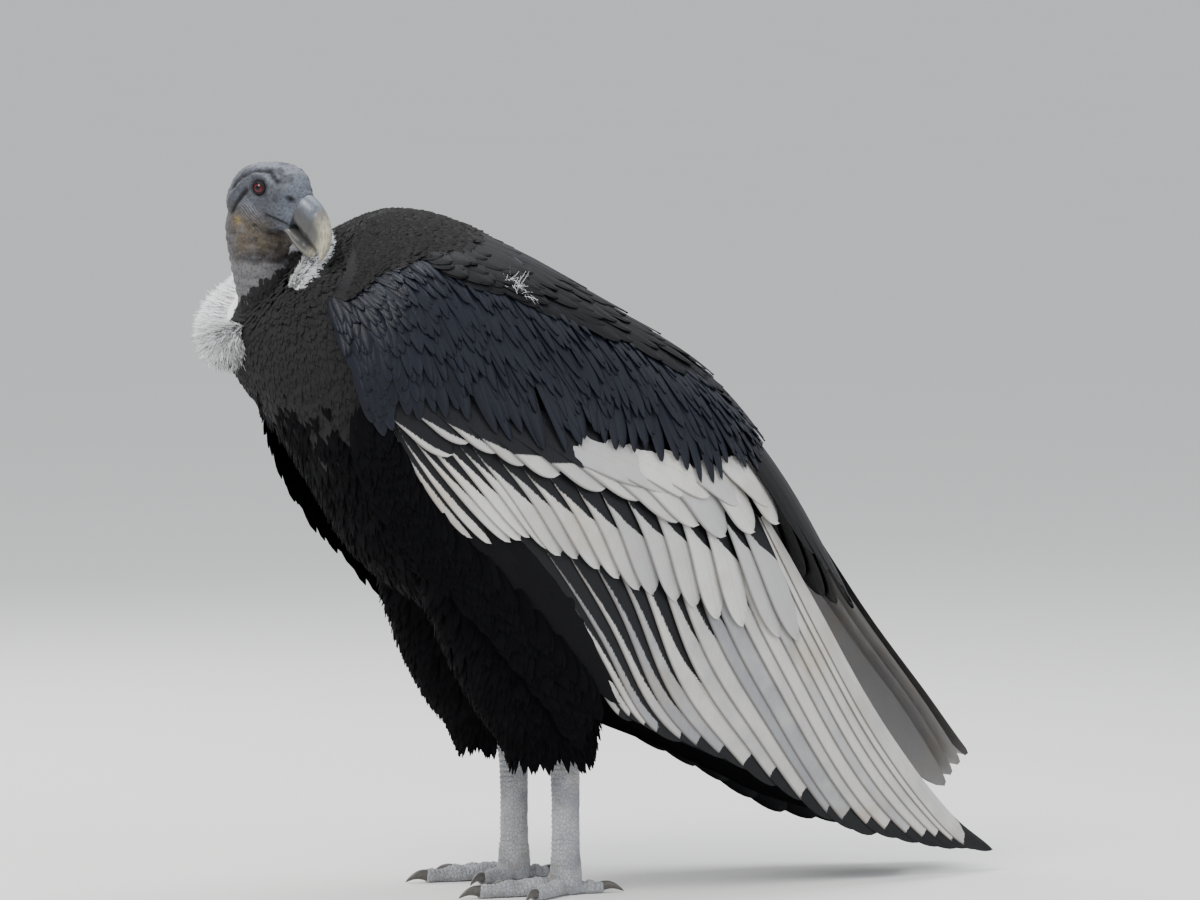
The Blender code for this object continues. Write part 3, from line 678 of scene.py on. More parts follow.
def feathers(name, points, lane, shade, material, bake, mark=None, normals=None):
    """One mesh of many feathers; bake gives each feather's patch as u, v, width and height."""
    count, n, m = points.shape[:3]
    if normals is not None:
        normals = np.broadcast_to(normals[:, None, None], points.shape)
    fields = {"lane": lane.reshape(-1, 3), "shade": np.repeat(shade, n * m)}
    if mark is not None:
        fields["mark"] = mark.ravel()
    u = bake[:, 0, None, None] + bake[:, 2, None, None] * (lane[..., 2] * 0.5 + 0.5)
    v = bake[:, 1, None, None] + bake[:, 3, None, None] * np.linspace(0, 1, n)[None, :, None]
    maps = {"OFBake": np.stack([u, v + 0 * u], -1).reshape(-1, 2)}
    faces = grid_faces(count, n, m)
    if normals is not None:
        a, b, c, d = points.reshape(-1, 3)[faces].transpose(1, 0, 2)
        inward = np.sum(np.cross(c - a, d - b) * normals.reshape(-1, 3)[faces[:, 0]], -1) < 0
        faces[inward] = faces[inward][:, ::-1]
    return make(name, points, faces, material, fields, maps, normals)


def columns(count):
    """Patches side by side, for long feathers with markings."""
    i = np.arange(count)
    return np.stack([i / count + 0.05 / count, 0 * i + 0.02, 0 * i + 0.9 / count, 0 * i + 0.96], -1)


def spots(t, q, low, high):
    """Small patches at the roots' places on the surface's own map."""
    place = 0.01 + 0.97 * np.clip(np.stack([t, (q - low) / (high - low)], -1), 0, 1)
    return np.concatenate([place, np.full(place.shape, 0.003)], -1)


def follow(surface, t, q, way, length, n):
    """Centre lines on a surface that start at (t, q) and run with the vector way."""
    ts = np.repeat(t[:, None], n, 1)
    qs = np.repeat(q[:, None], n, 1)
    step = length / (n - 1)
    for i in range(1, n):
        along, over, normal = frames(surface, ts[:, i - 1], qs[:, i - 1])
        w = way(surface(ts[:, i - 1], qs[:, i - 1]), normal)
        w = unit(w - normal * np.sum(w * normal, -1, keepdims=True))
        dt, dq = to_params(along, over, w)
        most = 0.05
        scale = np.minimum(1.0, most / np.maximum(np.abs(dt * step) + np.abs(dq * step) * 0.2, 1e-9))
        ts[:, i] = np.clip(ts[:, i - 1] + dt * step * scale, 0.004, 0.996)
        qs[:, i] = qs[:, i - 1] + dq * step * scale
    return ts, qs


def contour(name, surface, t, q, way, length, half, material, bake, rng, low=-0.009, high=0.001, n=7, m=4,
            side=1, curl=0.0, mid=None, ruffle=0.10):
    """Small feathers from roots (t, q) that run with the vector way."""
    count = len(t)
    ts, qs = follow(surface, t, q, way, length, n)
    js = np.linspace(-1, 1, m)
    kk, jj = lattice(count, np.linspace(0, 1, n), js)
    top = high + rng.uniform(-0.0012, 0.0012, count)
    h = low + (top[:, None, None] - low) * kk ** 0.7 - 0.0012 * jj ** 2 + curl * kk ** 3
    points, lane = lay(surface, ts, qs, half, h, js, outline(kk, root=0.5, full=0.4, tip=0.5))
    points = mirror(points, side, mid)
    soft = unit(frames(surface, ts[:, n // 2], qs[:, n // 2])[2] + rng.normal(0, ruffle, (count, 3)))
    soft[:, 0] *= side
    return feathers(name, points, lane, rng.uniform(0, 1, count), material, bake, normals=soft)


NECK_BASE = np.array([0.0, -0.285, 0.600])


def lie(reach, pull, far):
    """Lie of a coat: away from the neck near it, and along a vector farther off."""
    def way(p, normal):
        away = p - NECK_BASE
        near = np.exp(-np.linalg.norm(away, axis=-1, keepdims=True) / reach)
        return unit(away) * near * pull + np.array(far) * (1 - near)
    return way


def straight(vector):
    return lambda p, normal: np.array(vector) + 0 * p


body_way = lie(0.07, 2.5, (0.0, 0.55, -0.83))
back_way = lie(0.05, 2.0, (0.10, 0.90, -0.35))
flank_way = straight((0.0, 0.42, -0.90))
down_way = straight((0.0, 0.10, -1.0))

# Wing tiers: root t, v and tip t, v from the lower edge to the back
SHOULDER = [
    (0.020, 0.90, 0.140, 0.970), (0.012, 0.58, 0.148, 0.86), (0.058, 0.36, 0.205, 0.745),
    (0.118, 0.26, 0.250, 0.665), (0.190, 0.16, 0.305, 0.59), (0.255, 0.09, 0.370, 0.51),
    (0.330, 0.05, 0.430, 0.40), (0.390, 0.02, 0.475, 0.18),
]
SCAPULAR = [
    (0.085, 0.38, 0.160, 0.39), (0.100, 0.27, 0.225, 0.335), (0.110, 0.17, 0.285, 0.26),
    (0.120, 0.09, 0.350, 0.18), (0.125, 0.03, 0.430, 0.11),
]
MEDIAN = [
    (0.135, 0.885, 0.208, 0.866), (0.170, 0.795, 0.236, 0.780), (0.208, 0.745, 0.265, 0.752),
    (0.232, 0.712, 0.292, 0.712), (0.258, 0.665, 0.343, 0.652), (0.300, 0.615, 0.400, 0.608),
    (0.345, 0.560, 0.438, 0.570), (0.400, 0.480, 0.476, 0.495), (0.450, 0.350, 0.517, 0.362),
]
UPPER_MEDIAN = [
    (0.300, 0.640, 0.366, 0.588), (0.335, 0.590, 0.400, 0.560), (0.378, 0.535, 0.432, 0.500),
    (0.428, 0.440, 0.474, 0.412), (0.468, 0.270, 0.513, 0.240),
]
GREATER = [
    (0.170, 0.925, 0.259, 0.990), (0.185, 0.880, 0.284, 0.926), (0.212, 0.825, 0.300, 0.888),
    (0.245, 0.780, 0.330, 0.852), (0.285, 0.735, 0.375, 0.815), (0.335, 0.680, 0.420, 0.780),
    (0.385, 0.610, 0.470, 0.720), (0.440, 0.530, 0.525, 0.665), (0.480, 0.440, 0.580, 0.580),
]
SECONDARY = [
    (0.215, 0.90, 0.490, 0.990), (0.245, 0.87, 0.516, 0.980), (0.280, 0.82, 0.545, 0.968),
    (0.320, 0.76, 0.583, 0.970), (0.355, 0.70, 0.625, 0.972), (0.390, 0.64, 0.672, 0.975),
    (0.420, 0.59, 0.725, 0.985), (0.445, 0.54, 0.780, 0.975), (0.465, 0.49, 0.835, 0.960),
    (0.480, 0.44, 0.890, 0.920), (0.492, 0.40, 0.935, 0.860), (0.500, 0.36, 0.972, 0.800),
]
PRIMARY_COVERT = [
    (0.090, 0.900, 0.230, 1.00), (0.110, 0.900, 0.265, 1.02), (0.135, 0.905, 0.312, 1.04),
    (0.160, 0.915, 0.367, 1.03), (0.180, 0.920, 0.420, 1.01), (0.200, 0.920, 0.465, 0.99),
]
PRIMARY = [
    (0.300, 0.950, 0.600, 0.955), (0.300, 0.940, 0.700, 0.950), (0.300, 0.930, 0.800, 0.920),
    (0.300, 0.920, 0.880, 0.880), (0.300, 0.910, 0.935, 0.820), (0.300, 0.900, 0.962, 0.760),
]
TERTIAL = [
    (0.420, 0.240, 0.560, 0.300), (0.420, 0.180, 0.605, 0.230), (0.410, 0.140, 0.640, 0.160),
    (0.400, 0.090, 0.660, 0.080),
]


def rooted(rows, share):
    """The same row with its roots pushed back under the feathers in front of it."""
    rows = np.array(rows)
    rows[:, :2] -= share * (rows[:, 2:] - rows[:, :2])
    return rows


def wing_tier(name, rows, count, half, side, rng, height, shape, material, n=16, m=7, bow=0.0, mark=None,
              jitter=(0.005, 0.006)):
    """A row of long feathers between the stated rows, from the lower edge to the back."""
    a = np.linspace(0, 1, count)
    row = spline(rows, a)
    row[:, 2] += rng.uniform(-1, 1, count) * jitter[0]
    row[:, 3] += rng.uniform(-1, 1, count) * jitter[1]
    k = stations(n)
    t = row[:, 0, None] + (row[:, 2] - row[:, 0])[:, None] * k
    q = row[:, 1, None] + (row[:, 3] - row[:, 1])[:, None] * k + bow * np.sin(math.pi * k)
    js = np.linspace(-1, 1, m)
    wide = np.interp(a, np.linspace(0, 1, len(half)), half) * rng.uniform(0.94, 1.06, count)
    kk, jj = lattice(count, k, js)
    aa = a[:, None, None] + 0 * kk
    lift = height(aa, kk, jj) * np.interp(t, [0.8, 1.0], [1.0, 0.5])[..., None]
    points, lane = lay(wing_point, t, q, wide, lift, js, shape(kk, jj))
    points = mirror(points, side, MIDLINE)
    marks = None if mark is None else mark(aa, kk, jj)
    return feathers(name, points, lane, rng.uniform(0, 1, count), material, columns(count), marks)


# Drop of a long feather's two edges below its middle
SOFT_EDGE = 0.0008


def rise(lift, depth, tilt, droop=0.0):
    """Height over the wing surface: roots sunk, the front edge over the next feather, soft edges."""
    def height(a, k, j):
        h = lift - depth * (1 - np.minimum(k / 0.75, 1.0)) ** 1.4 + tilt * j
        return h - SOFT_EDGE * np.abs(j) ** 4 - droop * k ** 3
    return height


def round_tip(**values):
    return lambda k, j: outline(k, **values)


# How far the roots of a row reach back under the row before it, as a share of the visible length
MEDIAN_DEEP = 0.55
GREATER_DEEP = 0.45


def shown(k, deep):
    """Share along the part of a feather that its neighbours leave free."""
    return k * (1 + deep) - deep


def median_mark(a, k, j):
    """White tips: thin crescents at the front of the wing, whole tips toward the back."""
    x = shown(k, MEDIAN_DEEP)
    start = np.interp(a, [0, 0.20, 0.35, 0.5, 0.75, 1.0], [0.15, 0.25, 0.42, 0.35, 0.10, -0.3])
    full = np.interp(a, [0, 0.20, 0.35, 0.5, 0.75, 1.0], [3.2, 2.2, 1.05, 0.85, 0.55, 0.20])
    return (x - start) / (full - start) * 2.1 - 1.0 - j


def white_mark(a, k, j):
    """White all over."""
    return 1.0 + 0 * k


def greater_mark(a, k, j):
    """White outer webs that start as a spike, black at the base."""
    x = shown(k, GREATER_DEEP)
    full = np.interp(a, [0, 0.15, 0.30, 0.45, 0.7, 1.0], [1.7, 1.25, 0.95, 0.80, 0.62, 0.42])
    f = np.interp(x / full, [0, 0.5, 1.0], [-1.0, -0.25, 1.15])
    return f - j


def secondary_mark(a, k, j):
    """White outer webs with black behind them, and black tips."""
    start = np.interp(a, [0, 0.25, 0.5, 1.0], [0.15, 0.12, 0.05, -0.2])
    full = np.interp(a, [0, 0.15, 0.30, 0.45, 1.0], [2.9, 2.2, 1.2, 0.6, 0.1])
    f = np.interp((k - start) / (full - start), [0, 0.5, 1.0], [-1.0, -0.2, 1.15])
    end = np.interp(a, [0, 0.3, 0.7, 0.88, 1.0], [0.935, 0.870, 0.840, 0.845, 0.860])
    g = np.interp((k - end + 0.02 * np.abs(j)) / 0.03, [-1.0, 1.0], [1.1, -1.1])
    return np.minimum(f, g) - j


def shingles(rows, lines, count, back, ahead, rng, spread, wave):
    """Roots and tips of small feathers, row by row like tiles, over a tier."""
    parts = []
    for r in range(lines):
        a = (np.arange(count) + 0.5 * (r % 2)) / count
        b = r / (lines - 1.0) * 0.84
        s = spline(rows, a)
        here = s[:, :2] + (s[:, 2:] - s[:, :2]) * (b - back)
        there = s[:, :2] + (s[:, 2:] - s[:, :2]) * (b + ahead)
        parts.append(np.concatenate([here, there], 1))
    row = np.concatenate(parts)
    total = len(row)
    shove = rng.uniform(-1, 1, (total, 2)) * spread
    row[:, :2] += shove * 0.6
    row[:, 2:] += shove + rng.uniform(-1, 1, (total, 2)) * spread
    drift = np.stack([row[:, 0] * 14, row[:, 1] * 5, 0 * row[:, 0]], -1)
    row[:, 2] += wave * 0.6 * noise(drift, 1.0, 14)
    row[:, 3] += wave * noise(drift, 1.0, 15)
    return row, np.repeat(np.linspace(0, 1, lines), count)


def small_feathers(name, row, rank, half, base, rng, side, material, tip=0.5, power=2.0, droop=0.004):
    """Wing feathers of a few millimetres' height, from roots and tips in rows of the stated rank."""
    total = len(row)
    k = stations(13)
    js = np.linspace(-1, 1, 5)
    bend = rng.uniform(-0.006, 0.006, total)[:, None] * np.sin(math.pi * k)
    t = np.clip(row[:, 0, None] + (row[:, 2] - row[:, 0])[:, None] * k, 0.002, 0.998)
    q = row[:, 1, None] + (row[:, 3] - row[:, 1])[:, None] * k + bend
    kk, jj = lattice(total, k, js)
    h = base + 0.0068 * kk ** 0.8 - 0.0006 * jj - 0.0011 * np.abs(jj) ** 3
    swell = noise(np.stack([row[:, 0] * 22, row[:, 1] * 7, 0 * row[:, 0]], -1), 1.0, 16)
    h = h + (rng.uniform(-0.0007, 0.0007, total) + 0.0016 * swell)[:, None, None] * kk
    h = h - droop * (ease(rank, 0.75, 1.0)[:, None, None] * kk ** 2)
    wide = half * rng.uniform(0.85, 1.15, total)
    points, lane = lay(wing_point, t, q, wide, h, js, outline(kk, root=0.6, full=0.35, tip=tip, power=power))
    points = mirror(points, side, BACK_SEAM)
    bake = spots(row[:, 0], row[:, 1], 0.0, WING_END)
    return feathers(name, points, lane, rng.uniform(0, 1, total), material, bake)


def lesser_coverts(tag, side, rng):
    """Rows of narrow glossy feathers over the shoulder."""
    row, rank = shingles(SHOULDER, 15, 44, 0.13, 0.215, rng, np.array([0.006, 0.014]), 0.022)
    half = np.interp(rank, [0, 1], [0.0056, 0.0088])
    return small_feathers("lesser_coverts_" + tag, row, rank, half, -0.0062, rng, side, COVERT,
                          tip=0.7, power=1.7)


def scapulars(tag, side, rng):
    """Long shoulder feathers that lie over the wing's upper edge."""
    row, rank = shingles(SCAPULAR, 8, 15, 0.10, 0.32, rng, np.array([0.007, 0.014]), 0.03)
    half = np.interp(rank, [0, 1], [0.0105, 0.0160])
    base = np.interp(rank, [0, 0.4], [-0.0065, -0.0030])[:, None, None]
    return small_feathers("scapulars_" + tag, row, rank, half, base, rng, side, MANTLE,
                          tip=0.65, droop=0.003)


def by_root(keep, t, q):
    """Kept roots in order, so that each feather lies over those behind it."""
    t, q = t[keep], q[keep]
    order = np.argsort(t)
    return t[order], q[order]


def mantle(tag, side, rng):
    """Short soft feathers from the neck over the top of the back."""
    count = 8500
    t = rng.uniform(0.004, 0.18, count)
    q = rng.uniform(0.015, 0.80, count)
    edge = np.interp(q, [0, 0.30, 0.42, 0.55, 0.80], [0.158, 0.125, 0.070, 0.030, 0.010])
    ragged = rng.uniform(-0.02, 0.02, count) * np.interp(edge, [0, 0.1], [0.3, 1.0])
    t, q = by_root(t < edge + ragged, t, q)
    length = np.interp(t, [0, 0.17], [0.013, 0.022]) * rng.uniform(0.85, 1.2, len(t))
    return contour("mantle_" + tag, wing_point, t, q, back_way, length, length * 0.22, BREAST,
                   spots(t, q, 0.0, WING_END), rng, low=-0.003, high=0.0026, n=5, m=3, side=side,
                   mid=BACK_SEAM, ruffle=0.04)


def flank(tag, side, rng):
    """Soft black feathers over the wing's lower front edge."""
    count = 1300
    t = rng.uniform(0.10 if side > 0 else 0.035, 0.40, count)
    q = rng.uniform(0.88, WING_END, count)
    low = np.interp(t, [0.03, 0.15, 0.20, 0.30, 0.46], [0.90, 0.95, 0.99, 0.995, 1.00])
    t, q = by_root(q > low, t, q)
    length = rng.uniform(0.034, 0.062, len(t))
    return contour("flank_" + tag, wing_point, t, q, flank_way, length, length * 0.15, BODY,
                   spots(t, q, 0.0, WING_END), rng, low=-0.016, high=-0.004, n=7, m=4, side=side,
                   mid=MIDLINE, curl=0.002)


# Thickness of the sheets under the feathers
SHEET = 0.0016


def wing_core(name, rows, low, high, nt, nq, top, side):
    """A thin closed sheet under the feathers, so that nothing shows through between their roots."""
    a, b = np.meshgrid(np.linspace(0, 1, nt), np.linspace(0, 1, nq), indexing="ij")
    s = spline(rows, a)
    k = low + (high - low) * b
    t = np.clip(s[..., 0] + (s[..., 2] - s[..., 0]) * k, 0.002, 0.998)
    q = s[..., 1] + (s[..., 3] - s[..., 1]) * k
    normal = frames(wing_point, t, q)[2]
    scale = np.interp(t, [0.8, 1.0], [1.0, 0.5])[..., None]
    upper = mirror(wing_point(t, q) + normal * top * scale, side, MIDLINE)
    lower = mirror(wing_point(t, q) + normal * (top - SHEET) * scale, side, MIDLINE)
    points = np.concatenate([upper.reshape(-1, 3), lower.reshape(-1, 3)])
    faces = np.concatenate([grid_faces(1, nt, nq), grid_faces(1, nt, nq)[:, ::-1] + nt * nq])
    return make(name, points, faces, UNDER)


def wing(tag, side):
    """All the feathers of one folded wing, from the shoulder to the long flight feathers."""
    rng = np.random.default_rng(11 if side > 0 else 12)
    made = [part(tag, side, rng) for part in (lesser_coverts, scapulars, mantle, flank)]
    made.append(wing_core("wing_core_" + tag, SHOULDER, 0.0, 1.05, 16, 14, -0.010, side))
    bar = [(m[0], m[1], g[2], g[3]) for m, g in zip(MEDIAN, GREATER)]
    made.append(wing_core("wing_bar_" + tag, bar, -0.1, 0.75, 20, 10, -0.0185, side))
    tips = wing_tier("primaries_" + tag, PRIMARY, 8, (0.018, 0.020), side, rng,
                     lambda a, k, j: -0.0222 - 0.0080 * a - 0.0006 * j - 0.0006 * np.abs(j) ** 4,
                     round_tip(root=0.5, full=0.2, tip=0.35, narrow=0.7), QUILL, n=18, m=5)
    made.append(tips)
    made.append(wing_tier("primary_coverts_" + tag, PRIMARY_COVERT, 10, (0.020, 0.022), side, rng,
                          rise(-0.0125, 0.006, -0.0012, droop=0.003), round_tip(tip=0.4, narrow=0.8),
                          QUILL, n=14, m=5))
    long_ones = wing_tier("secondaries_" + tag, SECONDARY, 19, (0.0150, 0.0165, 0.0185, 0.0185, 0.0150),
                          side, rng, rise(-0.0160, 0.003, -0.0026, droop=0.0015),
                          round_tip(tip=0.16, root=0.7, full=0.2, narrow=0.9), PIED,
                          n=30, m=9, bow=-0.012, mark=secondary_mark)
    made.append(long_ones)
    made.append(wing_tier("greater_coverts_" + tag, rooted(GREATER, GREATER_DEEP), 18,
                          (0.0125, 0.0165, 0.0195), side, rng,
                          rise(-0.0118, 0.0045, -0.0028, droop=0.0025), round_tip(tip=0.36, power=2.4),
                          TIPPED, n=20, m=9, bow=-0.008, mark=greater_mark))
    made.append(wing_tier("median_coverts_" + tag, rooted(MEDIAN, MEDIAN_DEEP), 12,
                          (0.0170, 0.0200, 0.0225), side, rng,
                          rise(-0.0070, 0.0045, -0.0028, droop=0.0030), round_tip(tip=0.30, power=2.6),
                          TIPPED, n=20, m=9, bow=-0.008, mark=median_mark, jitter=(0.010, 0.010)))
    made.append(wing_tier("upper_median_" + tag, rooted(UPPER_MEDIAN, 0.5), 7, (0.0165, 0.0175), side,
                          rng, rise(-0.0052, 0.0040, -0.0016, droop=0.0030), round_tip(tip=0.45),
                          TIPPED, n=16, m=7, bow=-0.006, mark=white_mark))
    made.append(wing_tier("tertials_" + tag, TERTIAL, 5, (0.024, 0.027), side, rng,
                          rise(-0.0040, 0.003, -0.0010, droop=0.0020), round_tip(tip=0.4), MANTLE,
                          n=18, m=7, bow=-0.01))
    pale = ("secondaries", "greater", "median", "upper_median")
    for obj in made:
        wear(obj, "plumage_white" if obj.name.startswith(pale) else "plumage_black")
    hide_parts("wing_coverts_" + tag)
    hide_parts("wing_secondaries_" + tag)
    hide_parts("wing_primaries_" + tag)


for tag, side in SIDES:
    wing(tag, side)


def spine_feathers(name, low, high, count, half, material):
    """Feathers along the back that close the seam between the folded wings."""
    rng = np.random.default_rng(71)
    n, m = 10, 7
    k = stations(n)
    root = np.linspace(low, high, count)
    t = root[:, None] + 0.060 * k
    q = np.full((count, n), 0.035)
    normal = unit(frames(wing_point, t, q)[2] * np.array([0.0, 1.0, 1.0]))
    mid = wing_point(t, q)
    mid[..., 0] = rng.uniform(-0.0035, 0.0035, count)[:, None]
    kk, jj = lattice(count, k, np.linspace(-1, 1, m))
    width = half * outline(kk, root=0.6, full=0.35, tip=0.5)
    height = -0.0030 + 0.0060 * kk ** 0.8 - 0.0022 * jj ** 2
    points = mid[:, :, None] + (width * jj)[..., None] * X_AXIS + height[..., None] * normal[:, :, None]
    lane = np.stack([width * jj, 0.040 * kk, jj], -1)
    obj = feathers(name, points, lane, rng.uniform(0, 1, count), material, columns(count))
    return wear(obj, "plumage_black")


spine_feathers("back_feathers", 0.03, 0.13, 16, 0.0085, BREAST)
spine_feathers("rump_feathers", 0.13, 0.36, 24, 0.0110, MANTLE)


def far_feather():
    """Long inner feathers of the right wing that stand up behind the left one."""
    count = 4
    k = stations(24)
    js = np.linspace(-1, 1, 9)
    order = np.linspace(0, 1, count)
    t = 0.42 + (0.475 + 0.02 * order)[:, None] * k
    q = (0.095 + 0.17 * order)[:, None] + 0.03 * k
    kk, jj = lattice(count, k, js)
    h = -0.0042 + (0.040 - 0.026 * order)[:, None, None] * kk ** 1.5 - 0.001 * jj
    half = np.array([0.036, 0.034, 0.030, 0.028])
    points, lane = lay(wing_point, t, q, half, h, js, outline(kk, tip=0.3, root=0.6))
    mark = -jj - 0.20 + 2.0 * ease(order, 0.0, 0.3)[:, None, None]
    obj = feathers("far_feathers", mirror(points, -1, MIDLINE), lane, order, FAR, columns(count), mark)
    return wear(obj, "plumage_black")


far_feather()

# Skin of the body, inside the solids by the coat's depth
COAT = 0.009
THIGH_COAT = 0.007


def torso_shape(inset):
    t = np.concatenate([[0.02], np.linspace(0.05, 0.96, 40), [0.985]])
    t, a = np.meshgrid(t, around(64), indexing="ij")
    return tube(torso_point(t, a) - frames(torso_point, t, a)[2] * inset)


def thigh_shape(side, inset):
    t, a = np.meshgrid(np.linspace(0.0, 0.86, 20), around(40), indexing="ij")
    rings = thigh_point(t, a)
    mid = rings.mean(1, keepdims=True)
    rings = mid + (rings - mid) * (1 - inset / 0.04)
    rings[..., 0] *= side
    return tube(rings)


body = [torso_shape(COAT), thigh_shape(1, THIGH_COAT), thigh_shape(-1, THIGH_COAT)]
wear(fuse("body_skin", body, 0.005, UNDER), "plumage_black", "torso", "thigh_left", "thigh_right")


# Contour feathers of the body

def torso_coat(name, count, most, low_part, material, sizes, slim, rng, **values):
    """Feathers of the body's upper, grey part or of its lower, black part."""
    t = rng.uniform(0.004, most, count)
    q = rng.uniform(-math.pi, math.pi, count)
    p = torso_point(t, q)
    lower = ease(p[:, 2] + 0.35 * (p[:, 1] + 0.25), 0.51, 0.41) > rng.uniform(0.05, 0.95, count)
    keep = rng.uniform(0, 1, count) < np.clip(spline(TORSO, t)[:, 4] / 0.128, 0.15, 1.0)
    keep &= (np.abs(q) > 1.35) | (t < 0.30)
    keep &= lower == low_part
    t, q, p = t[keep], q[keep], p[keep]
    order = np.argsort(t)
    t, q, p = t[order], q[order], p[order]
    length = np.interp(p[:, 2], *sizes) * rng.uniform(0.85, 1.25, len(t))
    return contour(name, torso_point, t, q, body_way, length, length * slim, material,
                   spots(t, q, -math.pi, math.pi), rng, high=0.0012, **values)


# Feather lengths by height over the ground
BREAST_LENGTH = ([0.40, 0.50, 0.62], [0.024, 0.018, 0.012])
BELLY_LENGTH = ([0.20, 0.42], [0.060, 0.048])
coat_rng = np.random.default_rng(21)
breast = torso_coat("breast_feathers", 20000, 0.50, False, BREAST, BREAST_LENGTH, 0.22, coat_rng,
                    low=-0.004, n=5, m=3, ruffle=0.04)
belly = torso_coat("belly_feathers", 8500, 0.97, True, BODY, BELLY_LENGTH, 0.15, coat_rng,
                   low=-0.009, curl=0.005, n=6, m=4, ruffle=0.15)
wear(breast, "plumage_black")
wear(belly, "plumage_black")


def trousers(tag, side):
    """Long soft feathers round a thigh, down over the shank."""
    rng = np.random.default_rng(31 if side > 0 else 32)
    count = 1900
    t = 0.74 * rng.uniform(0.01, 1.0, count) ** 0.85
    q = rng.uniform(-math.pi, math.pi, count)
    order = np.argsort(t)
    t, q = t[order], q[order]
    length = np.interp(t, [0, 0.8], [0.062, 0.036]) * rng.uniform(0.60, 1.0 + 0.8 * t, count)
    half = length * np.interp(t, [0, 0.5, 0.8], [0.12, 0.10, 0.06])
    return contour("trousers_" + tag, thigh_point, t, q, down_way, length, half, BODY,
                   spots(t, q, -math.pi, math.pi), rng, low=-0.008, high=0.002, side=side, curl=0.006, n=8)


for tag, side in SIDES:
    wear(trousers(tag, side), "plumage_black")

# Tail under the wings
TAIL_FROM = np.array([0.0, 0.150, 0.290])
TAIL_TO = np.array([0.0, 0.405, 0.022])


def tail():
    """Twelve stiff feathers in a closed fan, arched over the middle."""
    rng = np.random.default_rng(41)
    count = 12
    f = np.linspace(-1, 1, count)
    way = unit(TAIL_TO - TAIL_FROM)
    up = np.array([0.0, -way[2], way[1]])
    k = stations(22)
    length = np.linalg.norm(TAIL_TO - TAIL_FROM) * (1 - 0.05 * np.abs(f))
    fan = f[:, None] * (0.012 + 0.022 * k)
    arch = 0.0035 * (1 - np.abs(f))[:, None] * np.minimum(k * 3, 1) - 0.008 * np.abs(f)[:, None]
    mid = TAIL_FROM + fan[..., None] * X_AXIS + (length[:, None] * k)[..., None] * way + arch[..., None] * up
    kk, jj = lattice(count, k, np.linspace(-1, 1, 7))
    half = 0.0165 * outline(kk, root=0.4, full=0.3, tip=0.14)
    points = mid[:, :, None, :] + (half * jj)[..., None] * X_AXIS - (0.0015 * jj ** 2)[..., None] * up
    lane = np.stack([half * jj, length[:, None, None] * kk, jj], -1)
    return feathers("tail_feathers", points, lane, rng.uniform(0, 1, count), COVERT, columns(count))


wear(tail(), "plumage_black", "tail")


# Head and neck

def segment(f, u, a, b):
    a, b = np.array(a, float), np.array(b, float)
    d = b - a
    k = np.clip(((f - a[0]) * d[0] + (u - a[1]) * d[1]) / (d @ d), 0, 1)
    return np.hypot(f - a[0] - k * d[0], u - a[1] - k * d[1])


def head_shape():
    r = spline(HEAD, np.linspace(0, 1, 60))
    c, s = np.cos(around(96)), np.sin(around(96))
    u = swing(r[:, 1, None], r[:, 2, None], np.sign(c) * np.abs(c) ** 0.84)
    w = r[:, 3, None] * (np.sign(s) * np.abs(s) ** 0.80)
    return tube(head_world(r[:, 0, None] + 0 * u, w, u))


def neck_point(t, angle):
    """Point of the neck at t from the head to the breast."""
    t, angle = np.broadcast_arrays(np.asarray(t, float), np.asarray(angle, float))
    here = spline(NECK, t)
    ahead, behind = spline(NECK, np.minimum(t + 0.02, 1.0)), spline(NECK, np.maximum(t - 0.02, 0.0))
    d = unit((ahead - behind)[..., :3])
    x = unit(np.cross(np.array([0.0, 1.0, 0.0]), d))
    y = np.cross(d, x)
    return here[..., :3] + here[..., 3:4] * (np.cos(angle)[..., None] * x + np.sin(angle)[..., None] * y)


def neck_shape():
    return tube(neck_point(np.linspace(0, 1, 60)[:, None], around(48)[None, :]))


def collar_way(p, normal):
    return normal * 0.35 + np.array([0.0, -0.05, -1.0])


def collar_feathers():
    """Short grey feathers where the breast runs up onto the neck."""
    rng = np.random.default_rng(61)
    count = 3200
    t = rng.uniform(0.42, 0.97, count)
    a = rng.uniform(-math.pi, math.pi, count)
    p = neck_point(t, a)
    toward = unit(p - spline(NECK, t)[:, :3]) @ unit(np.array([0.6, 0.9, 0.0]))
    keep = t > 0.64 - 0.09 * toward + rng.uniform(-0.02, 0.02, count)
    t, a = t[keep], a[keep]
    order = np.argsort(-t)
    t, a = t[order], a[order]
    length = rng.uniform(0.009, 0.014, len(t))
    return contour("collar_feathers", neck_point, t, a, collar_way, length, length * 0.22, BREAST,
                   spots(t, a, -math.pi, math.pi), rng, low=-0.002, high=0.0026, n=5, m=3, ruffle=0.04)


wear(collar_feathers(), "plumage_black")


def skin_look():
    look = Look("skin", 0.62, 0.35)
    tint = look.field("tint", vector=True)
    fine = look.noise(420.0, detail=4.0)
    blotch = look.noise(120.0, detail=3.0)
    base = look.mix(look.times(look.span(blotch, 0.45, 0.75), 0.30), tint, (0.150, 0.165, 0.200))
    base = look.mix(look.times(look.span(fine, 0.50, 0.38), 0.45), base, (0.012, 0.012, 0.014))
    look.colour(base)
    cells = look.cells(520.0)
    look.bump(look.plus(look.times(look.span(cells, 0.0, 0.25), 0.5), fine), 0.55, 0.0007)
    return look.mat


SKIN = skin_look()


